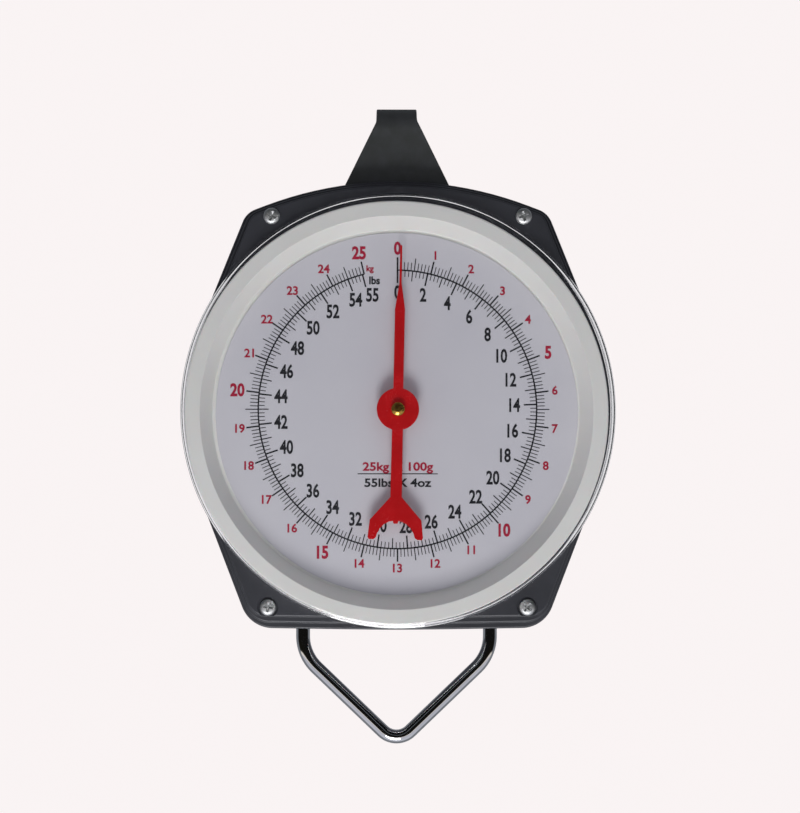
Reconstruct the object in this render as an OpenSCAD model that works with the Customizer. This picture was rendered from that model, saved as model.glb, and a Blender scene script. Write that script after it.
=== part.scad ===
// Hanging spring scale with a round dial.
// X runs across the dial, Y from front to back, Z up. The dial faces -Y.
// The origin is the centre of the hanger's round bend, where the scale hangs from a hook or a rod.

/* [Case] */
// Radius of the round sides of the case
case_r = 107.5; // [107:0.5:108.5]
// Depth of the front cover, from the split line to the face
front_d = 22; // [21.5:0.5:23]
// Depth of the back cover, from the split line to the back
back_d = 27; // [26:0.5:30]
// Wall thickness of both covers
wall = 2.5; // [2.2:0.1:2.8]

/* [Dial] */
// Radius of the lens's outer rim
lens_r = 108.6; // [108.4:0.1:109]
// Radius of the printed dial
dial_r = 92; // [88:0.5:93]
// Radius at which the bowl's sloping wall meets its flat rim
bowl_step_r = 98.2; // [98:0.1:99]
// Height of the spindle above the middle of the case
spindle_z = 1; // [0.5:0.5:1.5]
// Angle by which the pointer stands past zero at rest
pointer_lead = 1.2; // [0:0.1:2]

/* [Hanger and bail] */
// Width of the hanger strap at its top
strap_top_w = 20; // [18:0.5:22]
// Width of the hanger strap where it enters the case
strap_w = 53; // [50:0.5:54]
// Thickness of the hanger strap
strap_t = 2.5; // [2.5]
// Inside radius of the hanger's bend
strap_r = 8; // [8]
// Radius of the bail's wire
wire_r = 3.5; // [3.5]
// Distance from the middle to each leg of the bail
leg_x = 47; // [46:0.5:48]

/* [Movement] */
// Travel of the bail from no load to full load
stroke = 24.17; // [24.17]
// Number of teeth on the pinion
pinion_teeth = 16; // [16]
// Tooth module of the rack and pinion
tooth_module = 0.5; // [0.5]
// Distance from the middle to each spring
spring_x = 30; // [29:0.5:31]
// Turns in each spring
spring_turns = 18; // [12:1:20]

/* [Hidden] */
$fn = 96;
eps = 0.05;

// Heights are first counted from the middle of the case, then lowered by hang_z.
hang_z = 142;
strap_top_z = hang_z + strap_r + strap_t;
strap_foot_z = 84;
// The strap is at its full width below strap_wide_z and at its top width above strap_neck_z.
strap_wide_z = 113;
strap_neck_z = 146.5;

// The case outline is a ring of straight sides: [direction of the outward normal, distance].
slope_a = 69.2;
upper_a = 22;
lower_a = 20.9;
bottom_a = 89.07;
case_sides = [
    [slope_a, 120.03], [upper_a, case_r], [-lower_a, case_r], [-bottom_a, 109.49],
    [-180 + bottom_a, 109.49], [-180 + lower_a, case_r], [180 - upper_a, case_r], [180 - slope_a, 120.03]
];
// Radius of the rounded corner after each side.
case_corners = [11, case_r, 16.5, 1500, 16.5, case_r, 11, 185.5];
// How far the raised face stands in from each side, and the step below it.
face_inset = [2.5, 3, 3, 6, 6, 3, 3, 2.5];
step_inset = [1.2, 1.5, 1.5, 3, 3, 1.5, 1.5, 1.2];
no_inset = [for (s = case_sides) 0];
wall_inset = [for (s = case_sides) wall];
face_hollow = [for (d = face_inset) d + wall];
back_inset = [for (s = case_sides) 2];
back_hollow = [for (s = case_sides) 2 + wall];

face_y = -front_d;
lip_y = face_y + 8;
step_y = face_y + 4;
back_step_y = back_d - 4;
window_r = 101;

// Case screws: [x, z, depth of the recess round the head].
case_screw_at = [[63.1, 97.6, 0], [-63.1, 97.6, 0], [64.9, -98, 1.2], [-64.9, -98, 1.2]];
post_r = 4.5;
screw_r = 1.9;
screw_end_y = 12;
head_r = 4.1;
head_t = 2.2;
recess_r = 5.2;

// Depths of the dial's layers, front to back.
bowl_floor_y = face_y + 5;
bowl_rim_y = face_y - 7;
bowl_t = 2;
card_t = 0.6;
bowl_rim_r = 106.6;
lens_t = 1.6;
lens_inner_r = 107.1;
lens_rim_y = face_y - 11.6;
lens_dome = 2.6;

// Chassis plates stand either side of the load line, outside the hanger's legs.
plate_in = strap_r + strap_t;
plate_t = 2;
plate_out = plate_in + plate_t;
pillar_r = 4;
pillar_end_r = 2.2;
pillar_at = [[14, -28], [-14, -28], [14, 56], [-14, 56]];
chassis_recess = 2.5;
chassis_screw_at = [[22, 36], [-22, 36], [22, -22], [-22, -22]];
bowl_screw_ring_r = 24;
bowl_screw_r = 1.6;
bowl_screw_head_r = 3.2;
bowl_screw_at = [for (a = [90, 210, 330])
    [bowl_screw_ring_r * cos(a), spindle_z + bowl_screw_ring_r * sin(a)]];
rivet_at = [[16, 96], [-16, 96]];
rivet_r = 3;

// Springs run between the anchor bar and the yoke.
bar_z = 91;
bar_h = 10;
yoke_z = -62;
yoke_h = 10;
spring_r = 6.3;
spring_wire_r = 1.1;
plug_r = 4.7;
plug_l = 14;
nut_h = 5;

// Bail: a leg, a bend, a straight diagonal and a bend at the point.
bend_r = 10;
// The wire thins a little in its bends, and each straight laps over the end of its bend.
bend_wire_r = wire_r - 0.05;
lap = 0.2;
leg_top_z = yoke_z + 8;
elbow_z = -122;
point_z = -167;
diagonal_a = atan((elbow_z - point_z) / leg_x);
turn_a = 90 - diagonal_a;
elbow_c = [leg_x - bend_r, elbow_z + bend_r * tan(turn_a / 2)];
point_c = [0, point_z + bend_r / cos(diagonal_a)];
bush_r = 5.9;
bush_z = -108.7;
run_gap = 0.08;

// Rack and pinion.
pitch_r = tooth_module * pinion_teeth / 2;
tooth_pitch = PI * tooth_module;
pressure_a = 20;
addendum = 0.9 * tooth_module;
dedendum = 1.2 * tooth_module;
backlash = 0.06;
rack_w = 3;
rack_back_x = 9;
rack_teeth = ceil(stroke / tooth_pitch) + 2;
rack_top_z = spindle_z + stroke + 8;
pinion_l = 4;
spindle_r = 2;
bush_out_r = 4;
guide_x = 12.2;
guide_peg_r = 2;
rack_screw_at = [13, 18];
rack_screw_r = 1.2;
rack_foot_t = 3;

// Pointer.
pointer_t = 1.2;
pointer_y = face_y - 2;
hub_r = 10.6;
cap_r = 3.5;

// Zero adjuster.
zero_z = 76;
knob_r = 11;
knob_well_r = 13.5;
knob_y = back_d - 6.7;
knob_shaft_r = 3;
cam_r = 13;
cam_offset = 1.5;

// ---- Helpers ----

// The point where side i meets the next one, each side moved in by its inset.
function meet(i, inset) =
    let (
        n = len(case_sides),
        j = (i + 1) % n,
        a = case_sides[i][0],
        b = case_sides[j][0],
        p = case_sides[i][1] - inset[i],
        q = case_sides[j][1] - inset[j],
        d = sin(b - a)
    )
    [(p * sin(b) - q * sin(a)) / d, (q * cos(a) - p * cos(b)) / d];

// Arc points that round the corner after side i.
function corner(i, inset) =
    let (
        n = len(case_sides),
        j = (i + 1) % n,
        a = case_sides[i][0],
        b = case_sides[j][0],
        turn = ((b - a) % 360 + 540) % 360 - 180,
        v = meet(i, inset),
        r = max(0.5, case_corners[i] - max(inset[i], inset[j])),
        mid = a + turn / 2,
        c = v - r / cos(turn / 2) * [cos(mid), sin(mid)],
        steps = max(3, ceil(abs(turn) / 4))
    )
    [for (k = [0 : steps]) c + r * [cos(a + turn * k / steps), sin(a + turn * k / steps)]];

module outline(inset) {
    polygon([for (i = [0 : len(case_sides) - 1]) each corner(i, inset)]);
}

// An x-z outline as a slab from depth y0 back to depth y1.
module slab(y0, y1) {
    translate([0, y1, 0]) rotate([90, 0, 0]) linear_extrude(y1 - y0) children();
}

// A solid turned round the Y axis from an outline of [radius, depth] points.
module turned(points) {
    rotate([-90, 0, 0]) rotate_extrude() polygon(points);
}

// A rod along Y at [x, z].
module rod(at, r, y0, y1) {
    translate([at[0], y0, at[1]]) rotate([-90, 0, 0]) cylinder(h = y1 - y0, r = r);
}

// A box from one corner to the other.
module block(low, high) {
    translate(low) cube(high - low);
}

// Lowers a piece from case heights to the hanging origin.
module hung() {
    translate([0, 0, -hang_z]) children();
}

// A pan head with a cross recess, its bearing face at depth y.
module pan_head(at, y) {
    translate([at[0], y, at[1]]) difference() {
        turned([[0, -head_t], [head_r * 0.55, -head_t], [head_r * 0.85, -head_t * 0.75],
            [head_r, -head_t * 0.3], [head_r, 0], [0, 0]]);
        block([-2.4, -head_t - eps, -0.45], [2.4, -head_t + 1.3, 0.45]);
        block([-0.45, -head_t - eps, -2.4], [0.45, -head_t + 1.3, 2.4]);
    }
}

// The cone of a countersunk head, carried forward by extra.
module countersink(extra) {
    turned([[0, -extra], [bowl_screw_head_r, -extra], [bowl_screw_head_r, 0],
        [bowl_screw_r, bowl_screw_head_r - bowl_screw_r], [0, bowl_screw_head_r - bowl_screw_r]]);
}

// ---- Case ----

module strap_slot(y_mid) {
    half = [strap_w / 2 + 0.4, strap_t / 2 + 0.3];
    block([-half[0], y_mid - half[1], 100], [half[0], y_mid + half[1], 120]);
}

module leg_holes() {
    for (s = [-1, 1]) translate([s * leg_x, 0, -114]) cylinder(h = 12, r = bush_r);
}

module front_cover() {
    color("#26282b") hung() difference() {
        union() {
            difference() {
                union() {
                    slab(lip_y, 0) outline(no_inset);
                    slab(step_y, lip_y) outline(step_inset);
                    slab(face_y, step_y) outline(face_inset);
                }
                slab(lip_y + 1, eps) outline(wall_inset);
                slab(face_y + wall, lip_y + 2) outline(face_hollow);
            }
            for (s = case_screw_at) rod([s[0], s[1]], post_r, face_y + wall / 2, 0);
        }
        rod([0, 0], window_r, face_y - eps, face_y + wall + eps);
        for (s = case_screw_at) {
            rod([s[0], s[1]], screw_r + 0.2, face_y - eps, eps);
            if (s[2] > 0) rod([s[0], s[1]], recess_r, face_y - eps, face_y + s[2]);
        }
        strap_slot(-strap_r - strap_t / 2);
        leg_holes();
    }
}

module back_cover() {
    color("#222427") hung() difference() {
        union() {
            difference() {
                union() {
                    slab(0, back_step_y) outline(no_inset);
                    slab(back_step_y, back_d) outline(back_inset);
                }
                slab(-eps, back_step_y - 1) outline(wall_inset);
                slab(back_step_y - 2, back_d - wall) outline(back_hollow);
            }
            for (s = case_screw_at) rod([s[0], s[1]], post_r, 0, back_d - wall / 2);
            for (s = chassis_screw_at) rod(s, post_r + 0.8, plate_out, back_d - wall / 2);
            rod([0, zero_z], knob_well_r + wall, knob_y - 2.8, back_d - wall / 2);
        }
        for (s = case_screw_at) rod([s[0], s[1]], screw_r, -eps, screw_end_y + 2);
        for (s = chassis_screw_at) {
            rod(s, screw_r + 0.2, plate_out - eps, back_d);
            rod(s, recess_r, back_d - chassis_recess, back_d + eps);
        }
        rod([0, zero_z], knob_well_r, knob_y - 0.3, back_d + eps);
        rod([0, zero_z], knob_shaft_r + run_gap, knob_y - 3, knob_y);
        strap_slot(strap_r + strap_t / 2);
        leg_holes();
    }
}

module case_screws() {
    color("#c9ccd0") hung() for (s = case_screw_at) {
        pan_head([s[0], s[1]], face_y + s[2]);
        rod([s[0], s[1]], screw_r, face_y + s[2], screw_end_y);
    }
}

// ---- Dial ----

module dial_bowl() {
    slope = (bowl_step_r - dial_r) / (bowl_floor_y - bowl_rim_y);
    color("#e9e9e6") hung() difference() {
        union() {
            turned([
                [7, bowl_floor_y], [dial_r, bowl_floor_y],
                [bowl_step_r, bowl_rim_y], [bowl_rim_r, bowl_rim_y],
                [bowl_rim_r, face_y], [bowl_rim_r - bowl_t, face_y],
                [bowl_rim_r - bowl_t, bowl_rim_y + bowl_t],
                [bowl_step_r + bowl_t - slope * bowl_t, bowl_rim_y + bowl_t],
                [dial_r + bowl_t - slope * bowl_t, bowl_floor_y + bowl_t], [7, bowl_floor_y + bowl_t]
            ]);
            for (s = bowl_screw_at) rod(s, post_r, bowl_floor_y + bowl_t / 2, -plate_out);
        }
        for (s = bowl_screw_at) {
            rod(s, bowl_screw_r, bowl_floor_y, -plate_out + eps);
            translate([s[0], bowl_floor_y, s[1]]) countersink(eps);
        }
    }
}

module dial_card() {
    color("#f4f4f2") hung() difference() {
        rod([0, 0], dial_r - 0.3, bowl_floor_y - card_t, bowl_floor_y);
        rod([0, spindle_z], 5, bowl_floor_y - card_t - eps, bowl_floor_y + eps);
    }
}

module lens() {
    // The front is a shallow dome that ends in a rounded rim.
    rim = 3;
    dome_r = lens_r - rim;
    dome_R = (dome_r * dome_r + lens_dome * lens_dome) / (2 * lens_dome);
    front_y = lens_rim_y - lens_dome;
    dome = [for (k = [0 : 8]) let (r = dome_r * k / 8)
        [r, front_y + dome_R - sqrt(dome_R * dome_R - r * r)]];
    edge = [for (a = [75 : -15 : 0]) [dome_r + rim * cos(a), lens_rim_y + rim - rim * sin(a)]];
    inner_edge = [for (a = [0 : 15 : 90])
        [dome_r + (lens_inner_r - dome_r) * cos(a), lens_rim_y + rim - (rim - lens_t) * sin(a)]];
    inner_dome = [for (k = [7 : -1 : 0]) dome[k] + [0, lens_t]];
    color([0.85, 0.9, 0.92, 0.35]) hung() turned(concat(
        dome, edge, [[lens_r, face_y], [lens_inner_r, face_y]], inner_edge, inner_dome
    ));
}

// ---- Chassis ----

module plate_outline() {
    polygon([[-24, -36], [24, -36], [28, -32], [28, 100], [24, 104], [-24, 104], [-28, 100], [-28, -32]]);
}

module plate_holes(y0, y1) {
    rod([0, spindle_z], bush_out_r, y0, y1);
    for (p = pillar_at) rod(p, pillar_end_r, y0, y1);
    for (p = rivet_at) rod(p, rivet_r, y0, y1);
}

module front_plate() {
    color("#a9adb1") hung() difference() {
        slab(-plate_out, -plate_in) plate_outline();
        plate_holes(-plate_out - eps, -plate_in + eps);
        for (s = bowl_screw_at) rod(s, bowl_screw_r, -plate_out - eps, -plate_in + eps);
        block([-10, -plate_out - eps, 64], [10, -plate_in + eps, 84]);
    }
}

module rear_plate() {
    color("#a9adb1") hung() difference() {
        slab(plate_in, plate_out) plate_outline();
        plate_holes(plate_in - eps, plate_out + eps);
        for (s = chassis_screw_at) rod(s, screw_r, plate_in - eps, plate_out + eps);
        rod([0, zero_z], knob_shaft_r + run_gap, plate_in - eps, plate_out + eps);
        rod([guide_x, spindle_z], guide_peg_r, plate_in - eps, plate_out + eps);
    }
}

module chassis_pillars() {
    color("#b9bcc0") hung() for (p = pillar_at) {
        rod(p, pillar_r, -plate_in, plate_in);
        rod(p, pillar_end_r, -plate_out - 0.8, plate_out + 0.8);
    }
}

module chassis_screws() {
    head_y = back_d - chassis_recess;
    color("#c9ccd0") hung() for (s = chassis_screw_at) {
        translate([s[0], head_y, s[1]]) rotate([0, 0, 180]) pan_head([0, 0], 0);
        rod(s, screw_r, plate_in, head_y);
    }
}

module bowl_screws() {
    color("#c9ccd0") hung() for (s = bowl_screw_at) {
        translate([s[0], bowl_floor_y, s[1]]) countersink(0);
        rod(s, bowl_screw_r, bowl_floor_y + 1.5, -plate_in + 1);
    }
}

// ---- Hanger and springs ----

module hanger() {
    color("#2a2c2c") hung() difference() {
        intersection() {
            translate([-strap_w / 2 - 1, 0, 0]) rotate([90, 0, 90]) linear_extrude(strap_w + 2) {
                difference() {
                    translate([0, hang_z]) circle(r = strap_r + strap_t);
                    translate([0, hang_z]) circle(r = strap_r);
                    translate([-20, hang_z - 40]) square([40, 40]);
                }
                for (s = [-1, 1]) translate([s * (strap_r + strap_t / 2) - strap_t / 2, strap_foot_z])
                    square([strap_t, hang_z - strap_foot_z]);
            }
            slab(-15, 15) polygon([
                [-strap_top_w / 2, strap_top_z + 1], [strap_top_w / 2, strap_top_z + 1],
                [strap_top_w / 2, strap_neck_z], [strap_w / 2, strap_wide_z],
                [strap_w / 2, strap_foot_z - 1], [-strap_w / 2, strap_foot_z - 1],
                [-strap_w / 2, strap_wide_z], [-strap_top_w / 2, strap_neck_z]
            ]);
        }
        for (p = rivet_at) rod(p, rivet_r, -15, 15);
    }
}

module hanger_rivets() {
    color("#b9bcc0") hung() for (p = rivet_at) {
        rod(p, rivet_r, -plate_out, plate_out);
        rod(p, rivet_r + 2, -plate_out - 1.5, -plate_out);
        rod(p, rivet_r + 2, plate_out, plate_out + 1.5);
    }
}

module anchor_bar() {
    color("#9a9ea2") hung() difference() {
        block([-38, -strap_r, bar_z], [38, strap_r, bar_z + bar_h]);
        for (p = rivet_at) rod(p, rivet_r, -strap_r - eps, strap_r + eps);
    }
}

// Plugs that the ends of the springs are screwed onto.
module upper_plugs() {
    color("#9a9ea2") hung() for (s = [-1, 1])
        translate([s * spring_x, 0, bar_z - plug_l]) cylinder(h = plug_l, r = plug_r);
}

module lower_plugs() {
    color("#9a9ea2") hung() for (s = [-1, 1])
        translate([s * spring_x, 0, yoke_z]) cylinder(h = plug_l, r = plug_r);
}

// A coil swept round the Z axis from z0 to z1.
module coil(z0, z1, turns) {
    sides = 6;
    per_turn = 8;
    rings = turns * per_turn;
    points = [for (i = [0 : rings]) let (a = 360 * i / per_turn, z = z0 + (z1 - z0) * i / rings)
        for (k = [0 : sides - 1]) let (b = 360 * k / sides, r = spring_r + spring_wire_r * cos(b))
            [r * cos(a), r * sin(a), z + spring_wire_r * sin(b)]];
    skin = [for (i = [0 : rings - 1]) for (k = [0 : sides - 1]) let (m = (k + 1) % sides)
        each [[i * sides + k, (i + 1) * sides + k, (i + 1) * sides + m],
            [i * sides + k, (i + 1) * sides + m, i * sides + m]]];
    first = [for (k = [0 : sides - 1]) k];
    last = [for (k = [sides - 1 : -1 : 0]) rings * sides + k];
    polyhedron(points, concat(skin, [first], [last]));
}

module spring(x) {
    end_gap = spring_wire_r + 0.3;
    color("#8f9398") hung() translate([x, 0, 0]) coil(yoke_z + end_gap, bar_z - end_gap, spring_turns);
}

// ---- Load carrier ----

module yoke() {
    color("#9a9ea2") hung() difference() {
        block([-leg_x - 8, -5, yoke_z - yoke_h], [leg_x + 8, 5, yoke_z]);
        for (s = [-1, 1]) translate([s * leg_x, 0, yoke_z - yoke_h - eps])
            cylinder(h = yoke_h + 2 * eps, r = wire_r);
        for (x = rack_screw_at) translate([x, 0, yoke_z - 6]) cylinder(h = 7, r = rack_screw_r);
    }
}

module bend(c, a0, a1) {
    translate([c[0], 0, c[1]]) rotate([90, 0, 0]) rotate([0, 0, a0])
        rotate_extrude(angle = a1 - a0) translate([bend_r, 0]) circle(r = bend_wire_r);
}

module bail_side() {
    start = elbow_c + bend_r * [cos(-turn_a), sin(-turn_a)];
    end = point_c + bend_r * [cos(-turn_a), sin(-turn_a)];
    translate([leg_x, 0, elbow_c[1] - lap]) cylinder(h = leg_top_z - elbow_c[1] + lap, r = wire_r);
    bend(elbow_c, -turn_a, 0);
    translate([end[0], 0, end[1]]) rotate([0, 90 - diagonal_a, 0])
        translate([0, 0, -lap]) cylinder(h = norm(end - start) + 2 * lap, r = wire_r);
}

module bail() {
    color("#d8dadd") hung() {
        bail_side();
        mirror([1, 0, 0]) bail_side();
        bend(point_c, -180 + turn_a, -turn_a);
    }
}

module bail_nuts() {
    color("#c9ccd0") hung() for (s = [-1, 1]) for (z = [yoke_z, yoke_z - yoke_h - nut_h])
        translate([s * leg_x, 0, z]) difference() {
            cylinder(h = nut_h, r = 6.35, $fn = 6);
            translate([0, 0, -eps]) cylinder(h = nut_h + 2 * eps, r = wire_r);
        }
}

module bail_bushes() {
    color("#1d1e20") hung() for (s = [-1, 1]) translate([s * leg_x, 0, 0]) difference() {
        union() {
            translate([0, 0, bush_z]) cylinder(h = 4, r = bush_r);
            translate([0, 0, bush_z + 3]) cylinder(h = 2, r = bush_r + 1.8);
        }
        translate([0, 0, bush_z - 1]) cylinder(h = 7, r = wire_r + run_gap);
    }
}

// ---- Rack and pinion ----

module rack() {
    root_x = pitch_r + dedendum;
    tip_x = pitch_r - addendum;
    half = tooth_pitch / 4 - backlash / 2;
    tip_h = half - addendum * tan(pressure_a);
    root_h = half + dedendum * tan(pressure_a);
    teeth = [for (k = [-2 : rack_teeth]) let (z = spindle_z + (k + 0.5) * tooth_pitch)
        each [[root_x, z - root_h], [tip_x, z - tip_h], [tip_x, z + tip_h], [root_x, z + root_h]]];
    color("#c4a24c") hung() difference() {
        union() {
            slab(-rack_w, rack_w) polygon(concat([[root_x, yoke_z]], teeth,
                [[root_x, rack_top_z], [rack_back_x, rack_top_z], [rack_back_x, yoke_z]]));
            block([rack_back_x - 1, -rack_w - 1, yoke_z], [21, rack_w + 1, yoke_z + rack_foot_t]);
        }
        for (x = rack_screw_at) translate([x, 0, yoke_z - eps])
            cylinder(h = rack_foot_t + 2 * eps, r = rack_screw_r);
    }
}

module rack_screws() {
    color("#c9ccd0") hung() for (x = rack_screw_at) translate([x, 0, yoke_z]) {
        translate([0, 0, -6]) cylinder(h = 6 + rack_foot_t, r = rack_screw_r);
        translate([0, 0, rack_foot_t]) cylinder(h = 1.6, r = 2.3);
    }
}

module rack_guide() {
    color("#e3dfd2") hung() {
        block([rack_back_x + 0.3, -4, spindle_z - 7], [15.5, plate_in, spindle_z + 7]);
        rod([guide_x, spindle_z], guide_peg_r, plate_in - 1, plate_out + 1);
    }
}

// A point on the involute of a circle of radius r, unrolled by t degrees.
function involute(r, t) = r * [cos(t) + t * PI / 180 * sin(t), sin(t) - t * PI / 180 * cos(t)];
function turn(p, a) = [p[0] * cos(a) - p[1] * sin(a), p[0] * sin(a) + p[1] * cos(a)];
function flip(p) = [p[0], -p[1]];

module pinion_outline() {
    base_r = pitch_r * cos(pressure_a);
    tip_r = pitch_r + addendum;
    root_r = pitch_r - dedendum;
    tip_t = sqrt(pow(tip_r / base_r, 2) - 1) * 180 / PI;
    pitch_t = tan(pressure_a) * 180 / PI;
    half_a = 90 / pinion_teeth - backlash / 2 / pitch_r * 180 / PI + pitch_t - pressure_a;
    flank = concat([[root_r, 0]], [for (k = [0 : 5]) involute(base_r, tip_t * k / 5)]);
    polygon([for (i = [0 : pinion_teeth - 1]) let (a = 360 * i / pinion_teeth) each concat(
        [for (p = flank) turn(p, a - half_a)],
        [for (k = [len(flank) - 1 : -1 : 0]) turn(flip(flank[k]), a + half_a)]
    )]);
}

module pinion() {
    color("#c4a24c") hung() translate([0, 0, spindle_z]) difference() {
        union() {
            slab(-pinion_l, pinion_l) pinion_outline();
            rod([0, 0], 3, -plate_in + 1.3, -pinion_l);
        }
        rod([0, 0], spindle_r, -plate_in, pinion_l + eps);
    }
}

module spindle() {
    color("#b9bcc0") hung() rod([0, spindle_z], spindle_r, pointer_y - pointer_t - 1.8, plate_out + 3.2);
}

module spindle_clip() {
    color("#8f9398") hung() difference() {
        rod([0, spindle_z], 3.6, plate_out + 1.8, plate_out + 2.8);
        rod([0, spindle_z], spindle_r, plate_out + 1, plate_out + 3);
    }
}

// A flanged bearing bush in a plate; side is -1 at the front and 1 at the rear.
module bush(side) {
    inner = side * (plate_in - 1);
    outer = side * (plate_out + 1.5);
    color("#c4a24c") hung() difference() {
        union() {
            rod([0, spindle_z], bush_out_r, min(inner, outer), max(inner, outer));
            rod([0, spindle_z], bush_out_r + 1.5, min(inner, side * plate_in), max(inner, side * plate_in));
        }
        rod([0, spindle_z], spindle_r + 0.05, min(inner, outer) - eps, max(inner, outer) + eps);
    }
}

// ---- Pointer ----

module pointer_outline() {
    difference() {
        union() {
            circle(r = hub_r);
            polygon([
                [-2.6, 0], [-2.5, 50], [-0.6, 63], [-0.5, 81.2], [0, 82.2], [0.5, 81.2], [0.6, 63],
                [2.5, 50], [2.6, 0],
                [2.9, -44], [12.9, -55.4], [13.9, -64.2], [13.2, -65.2], [11, -65.2], [10, -64.2],
                [8.6, -60], [-8.6, -60], [-10, -64.2], [-11, -65.2], [-13.2, -65.2], [-13.9, -64.2],
                [-12.9, -55.4], [-2.9, -44]
            ]);
        }
        translate([0, -65.4]) difference() {
            circle(r = 9.7);
            translate([-1.2, 8.4]) square([2.4, 2]);
        }
        circle(r = spindle_r);
    }
}

module pointer() {
    color("#b80f12") hung() translate([0, 0, spindle_z]) rotate([0, pointer_lead, 0]) {
        slab(pointer_y - pointer_t, pointer_y) pointer_outline();
        difference() {
            rod([0, 0], 4.5, pointer_y, pointer_y + 3.5);
            rod([0, 0], spindle_r, pointer_y - eps, pointer_y + 3.6);
        }
    }
}

module pointer_cap() {
    color("#c4a24c") hung() translate([0, pointer_y - pointer_t, spindle_z]) turned([
        [0, -3.4], [2.2, -3.1], [cap_r - 0.3, -2.3], [cap_r, -1.6], [cap_r, 0], [spindle_r, 0],
        [spindle_r, -1.8], [0, -1.8]
    ]);
}

// ---- Zero adjuster ----

module zero_knob() {
    flutes = 20;
    color("#303236") hung() translate([0, 0, zero_z]) {
        difference() {
            rod([0, 0], knob_r, knob_y, back_d - 0.3);
            for (i = [0 : flutes - 1]) let (a = 360 * i / flutes)
                rod((knob_r + 0.5) * [cos(a), sin(a)], 1.1, knob_y - eps, back_d);
        }
        rod([0, 0], knob_shaft_r, 1, knob_y + 1);
    }
}

module zero_cam() {
    color("#9a9ea2") hung() difference() {
        rod([0, zero_z - cam_offset], cam_r, 1, 7);
        rod([0, zero_z], knob_shaft_r, 1 - eps, 7 + eps);
    }
}

module knob_clip() {
    color("#8f9398") hung() difference() {
        rod([0, zero_z], 5.4, knob_y - 4.3, knob_y - 3.2);
        rod([0, zero_z], knob_shaft_r, knob_y - 5, knob_y - 2);
    }
}

front_cover();
back_cover();
dial_bowl();
dial_card();
lens();
case_screws();
front_plate();
rear_plate();
chassis_pillars();
chassis_screws();
bowl_screws();
hanger();
hanger_rivets();
anchor_bar();
upper_plugs();
spring(-spring_x);  // spring_left
spring(spring_x);  // spring_right
yoke();
lower_plugs();
bail();
bail_nuts();
bail_bushes();
rack();
rack_screws();
rack_guide();
pinion();
spindle();
spindle_clip();
bush(-1);  // front_bush
bush(1);  // rear_bush
pointer();
pointer_cap();
zero_knob();
zero_cam();
knob_clip();
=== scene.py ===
"""The looks of a hanging spring scale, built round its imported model.

Lengths in the classes are millimetres. Heights are counted from the middle of the case, which hangs
HANG_MM below the origin, and depths from the line of load, with the dial towards -Y.
"""

from __future__ import annotations

import logging
import math
from collections.abc import Callable, Sequence
from dataclasses import dataclass, field
from enum import Enum

import bmesh
import bpy
from mathutils import Matrix, Vector


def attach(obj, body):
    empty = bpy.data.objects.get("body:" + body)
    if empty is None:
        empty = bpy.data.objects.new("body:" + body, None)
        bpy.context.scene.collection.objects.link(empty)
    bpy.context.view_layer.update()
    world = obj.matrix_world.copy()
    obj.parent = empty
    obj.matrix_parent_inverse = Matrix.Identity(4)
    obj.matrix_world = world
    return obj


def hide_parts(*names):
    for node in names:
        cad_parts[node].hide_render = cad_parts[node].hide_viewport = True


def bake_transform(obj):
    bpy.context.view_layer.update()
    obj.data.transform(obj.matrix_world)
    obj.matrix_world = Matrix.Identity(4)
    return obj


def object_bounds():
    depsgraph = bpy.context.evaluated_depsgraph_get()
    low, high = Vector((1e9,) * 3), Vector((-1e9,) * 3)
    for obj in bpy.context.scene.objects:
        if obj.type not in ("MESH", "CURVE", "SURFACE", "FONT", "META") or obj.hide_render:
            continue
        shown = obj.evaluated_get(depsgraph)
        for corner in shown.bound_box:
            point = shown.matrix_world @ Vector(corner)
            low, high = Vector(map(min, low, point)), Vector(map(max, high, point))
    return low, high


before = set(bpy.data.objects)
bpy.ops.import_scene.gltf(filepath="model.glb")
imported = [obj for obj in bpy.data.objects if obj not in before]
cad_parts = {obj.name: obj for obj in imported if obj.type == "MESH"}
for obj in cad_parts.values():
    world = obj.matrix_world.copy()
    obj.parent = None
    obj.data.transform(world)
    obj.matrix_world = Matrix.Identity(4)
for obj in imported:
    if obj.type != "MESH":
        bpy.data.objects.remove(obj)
CAD_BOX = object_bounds()

LOG = logging.getLogger("scale")
MM = 0.001
HANG_MM = 142.0
SPINDLE_Z = 1.0
KNOB_Z = 76.0
LEG_X = 47.0
DIGIT_EM = 0.682
FACE_Y = -22.0
CARD_Y = -17.6

Point2 = tuple[float, float]
Point3 = tuple[float, float, float]


class Body(Enum):
    """The bodies that pieces ride on."""

    CASE = "case"
    LOAD = "load"
    POINTER = "pointer"
    ZERO = "zero"


class Ink(Enum):
    """The two inks of the dial."""

    RED = "red"
    BLACK = "black"


# ---- Small geometry ----


def at(x: float, y: float, z: float) -> Vector:
    """Places a point.

    Args:
        x: distance to the right in millimetres.
        y: depth in millimetres.
        z: height above the middle of the case in millimetres.

    Returns:
        The point in metres, hanging below the origin.
    """
    return Vector((x, y, z - HANG_MM)) * MM


def polar(radius: float, degrees: float) -> Point2:
    """Finds a point on a circle round the origin.

    Args:
        radius: the circle's radius.
        degrees: the angle from +X.

    Returns:
        The point's x and z.
    """
    return radius * math.cos(math.radians(degrees)), radius * math.sin(math.radians(degrees))


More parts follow.
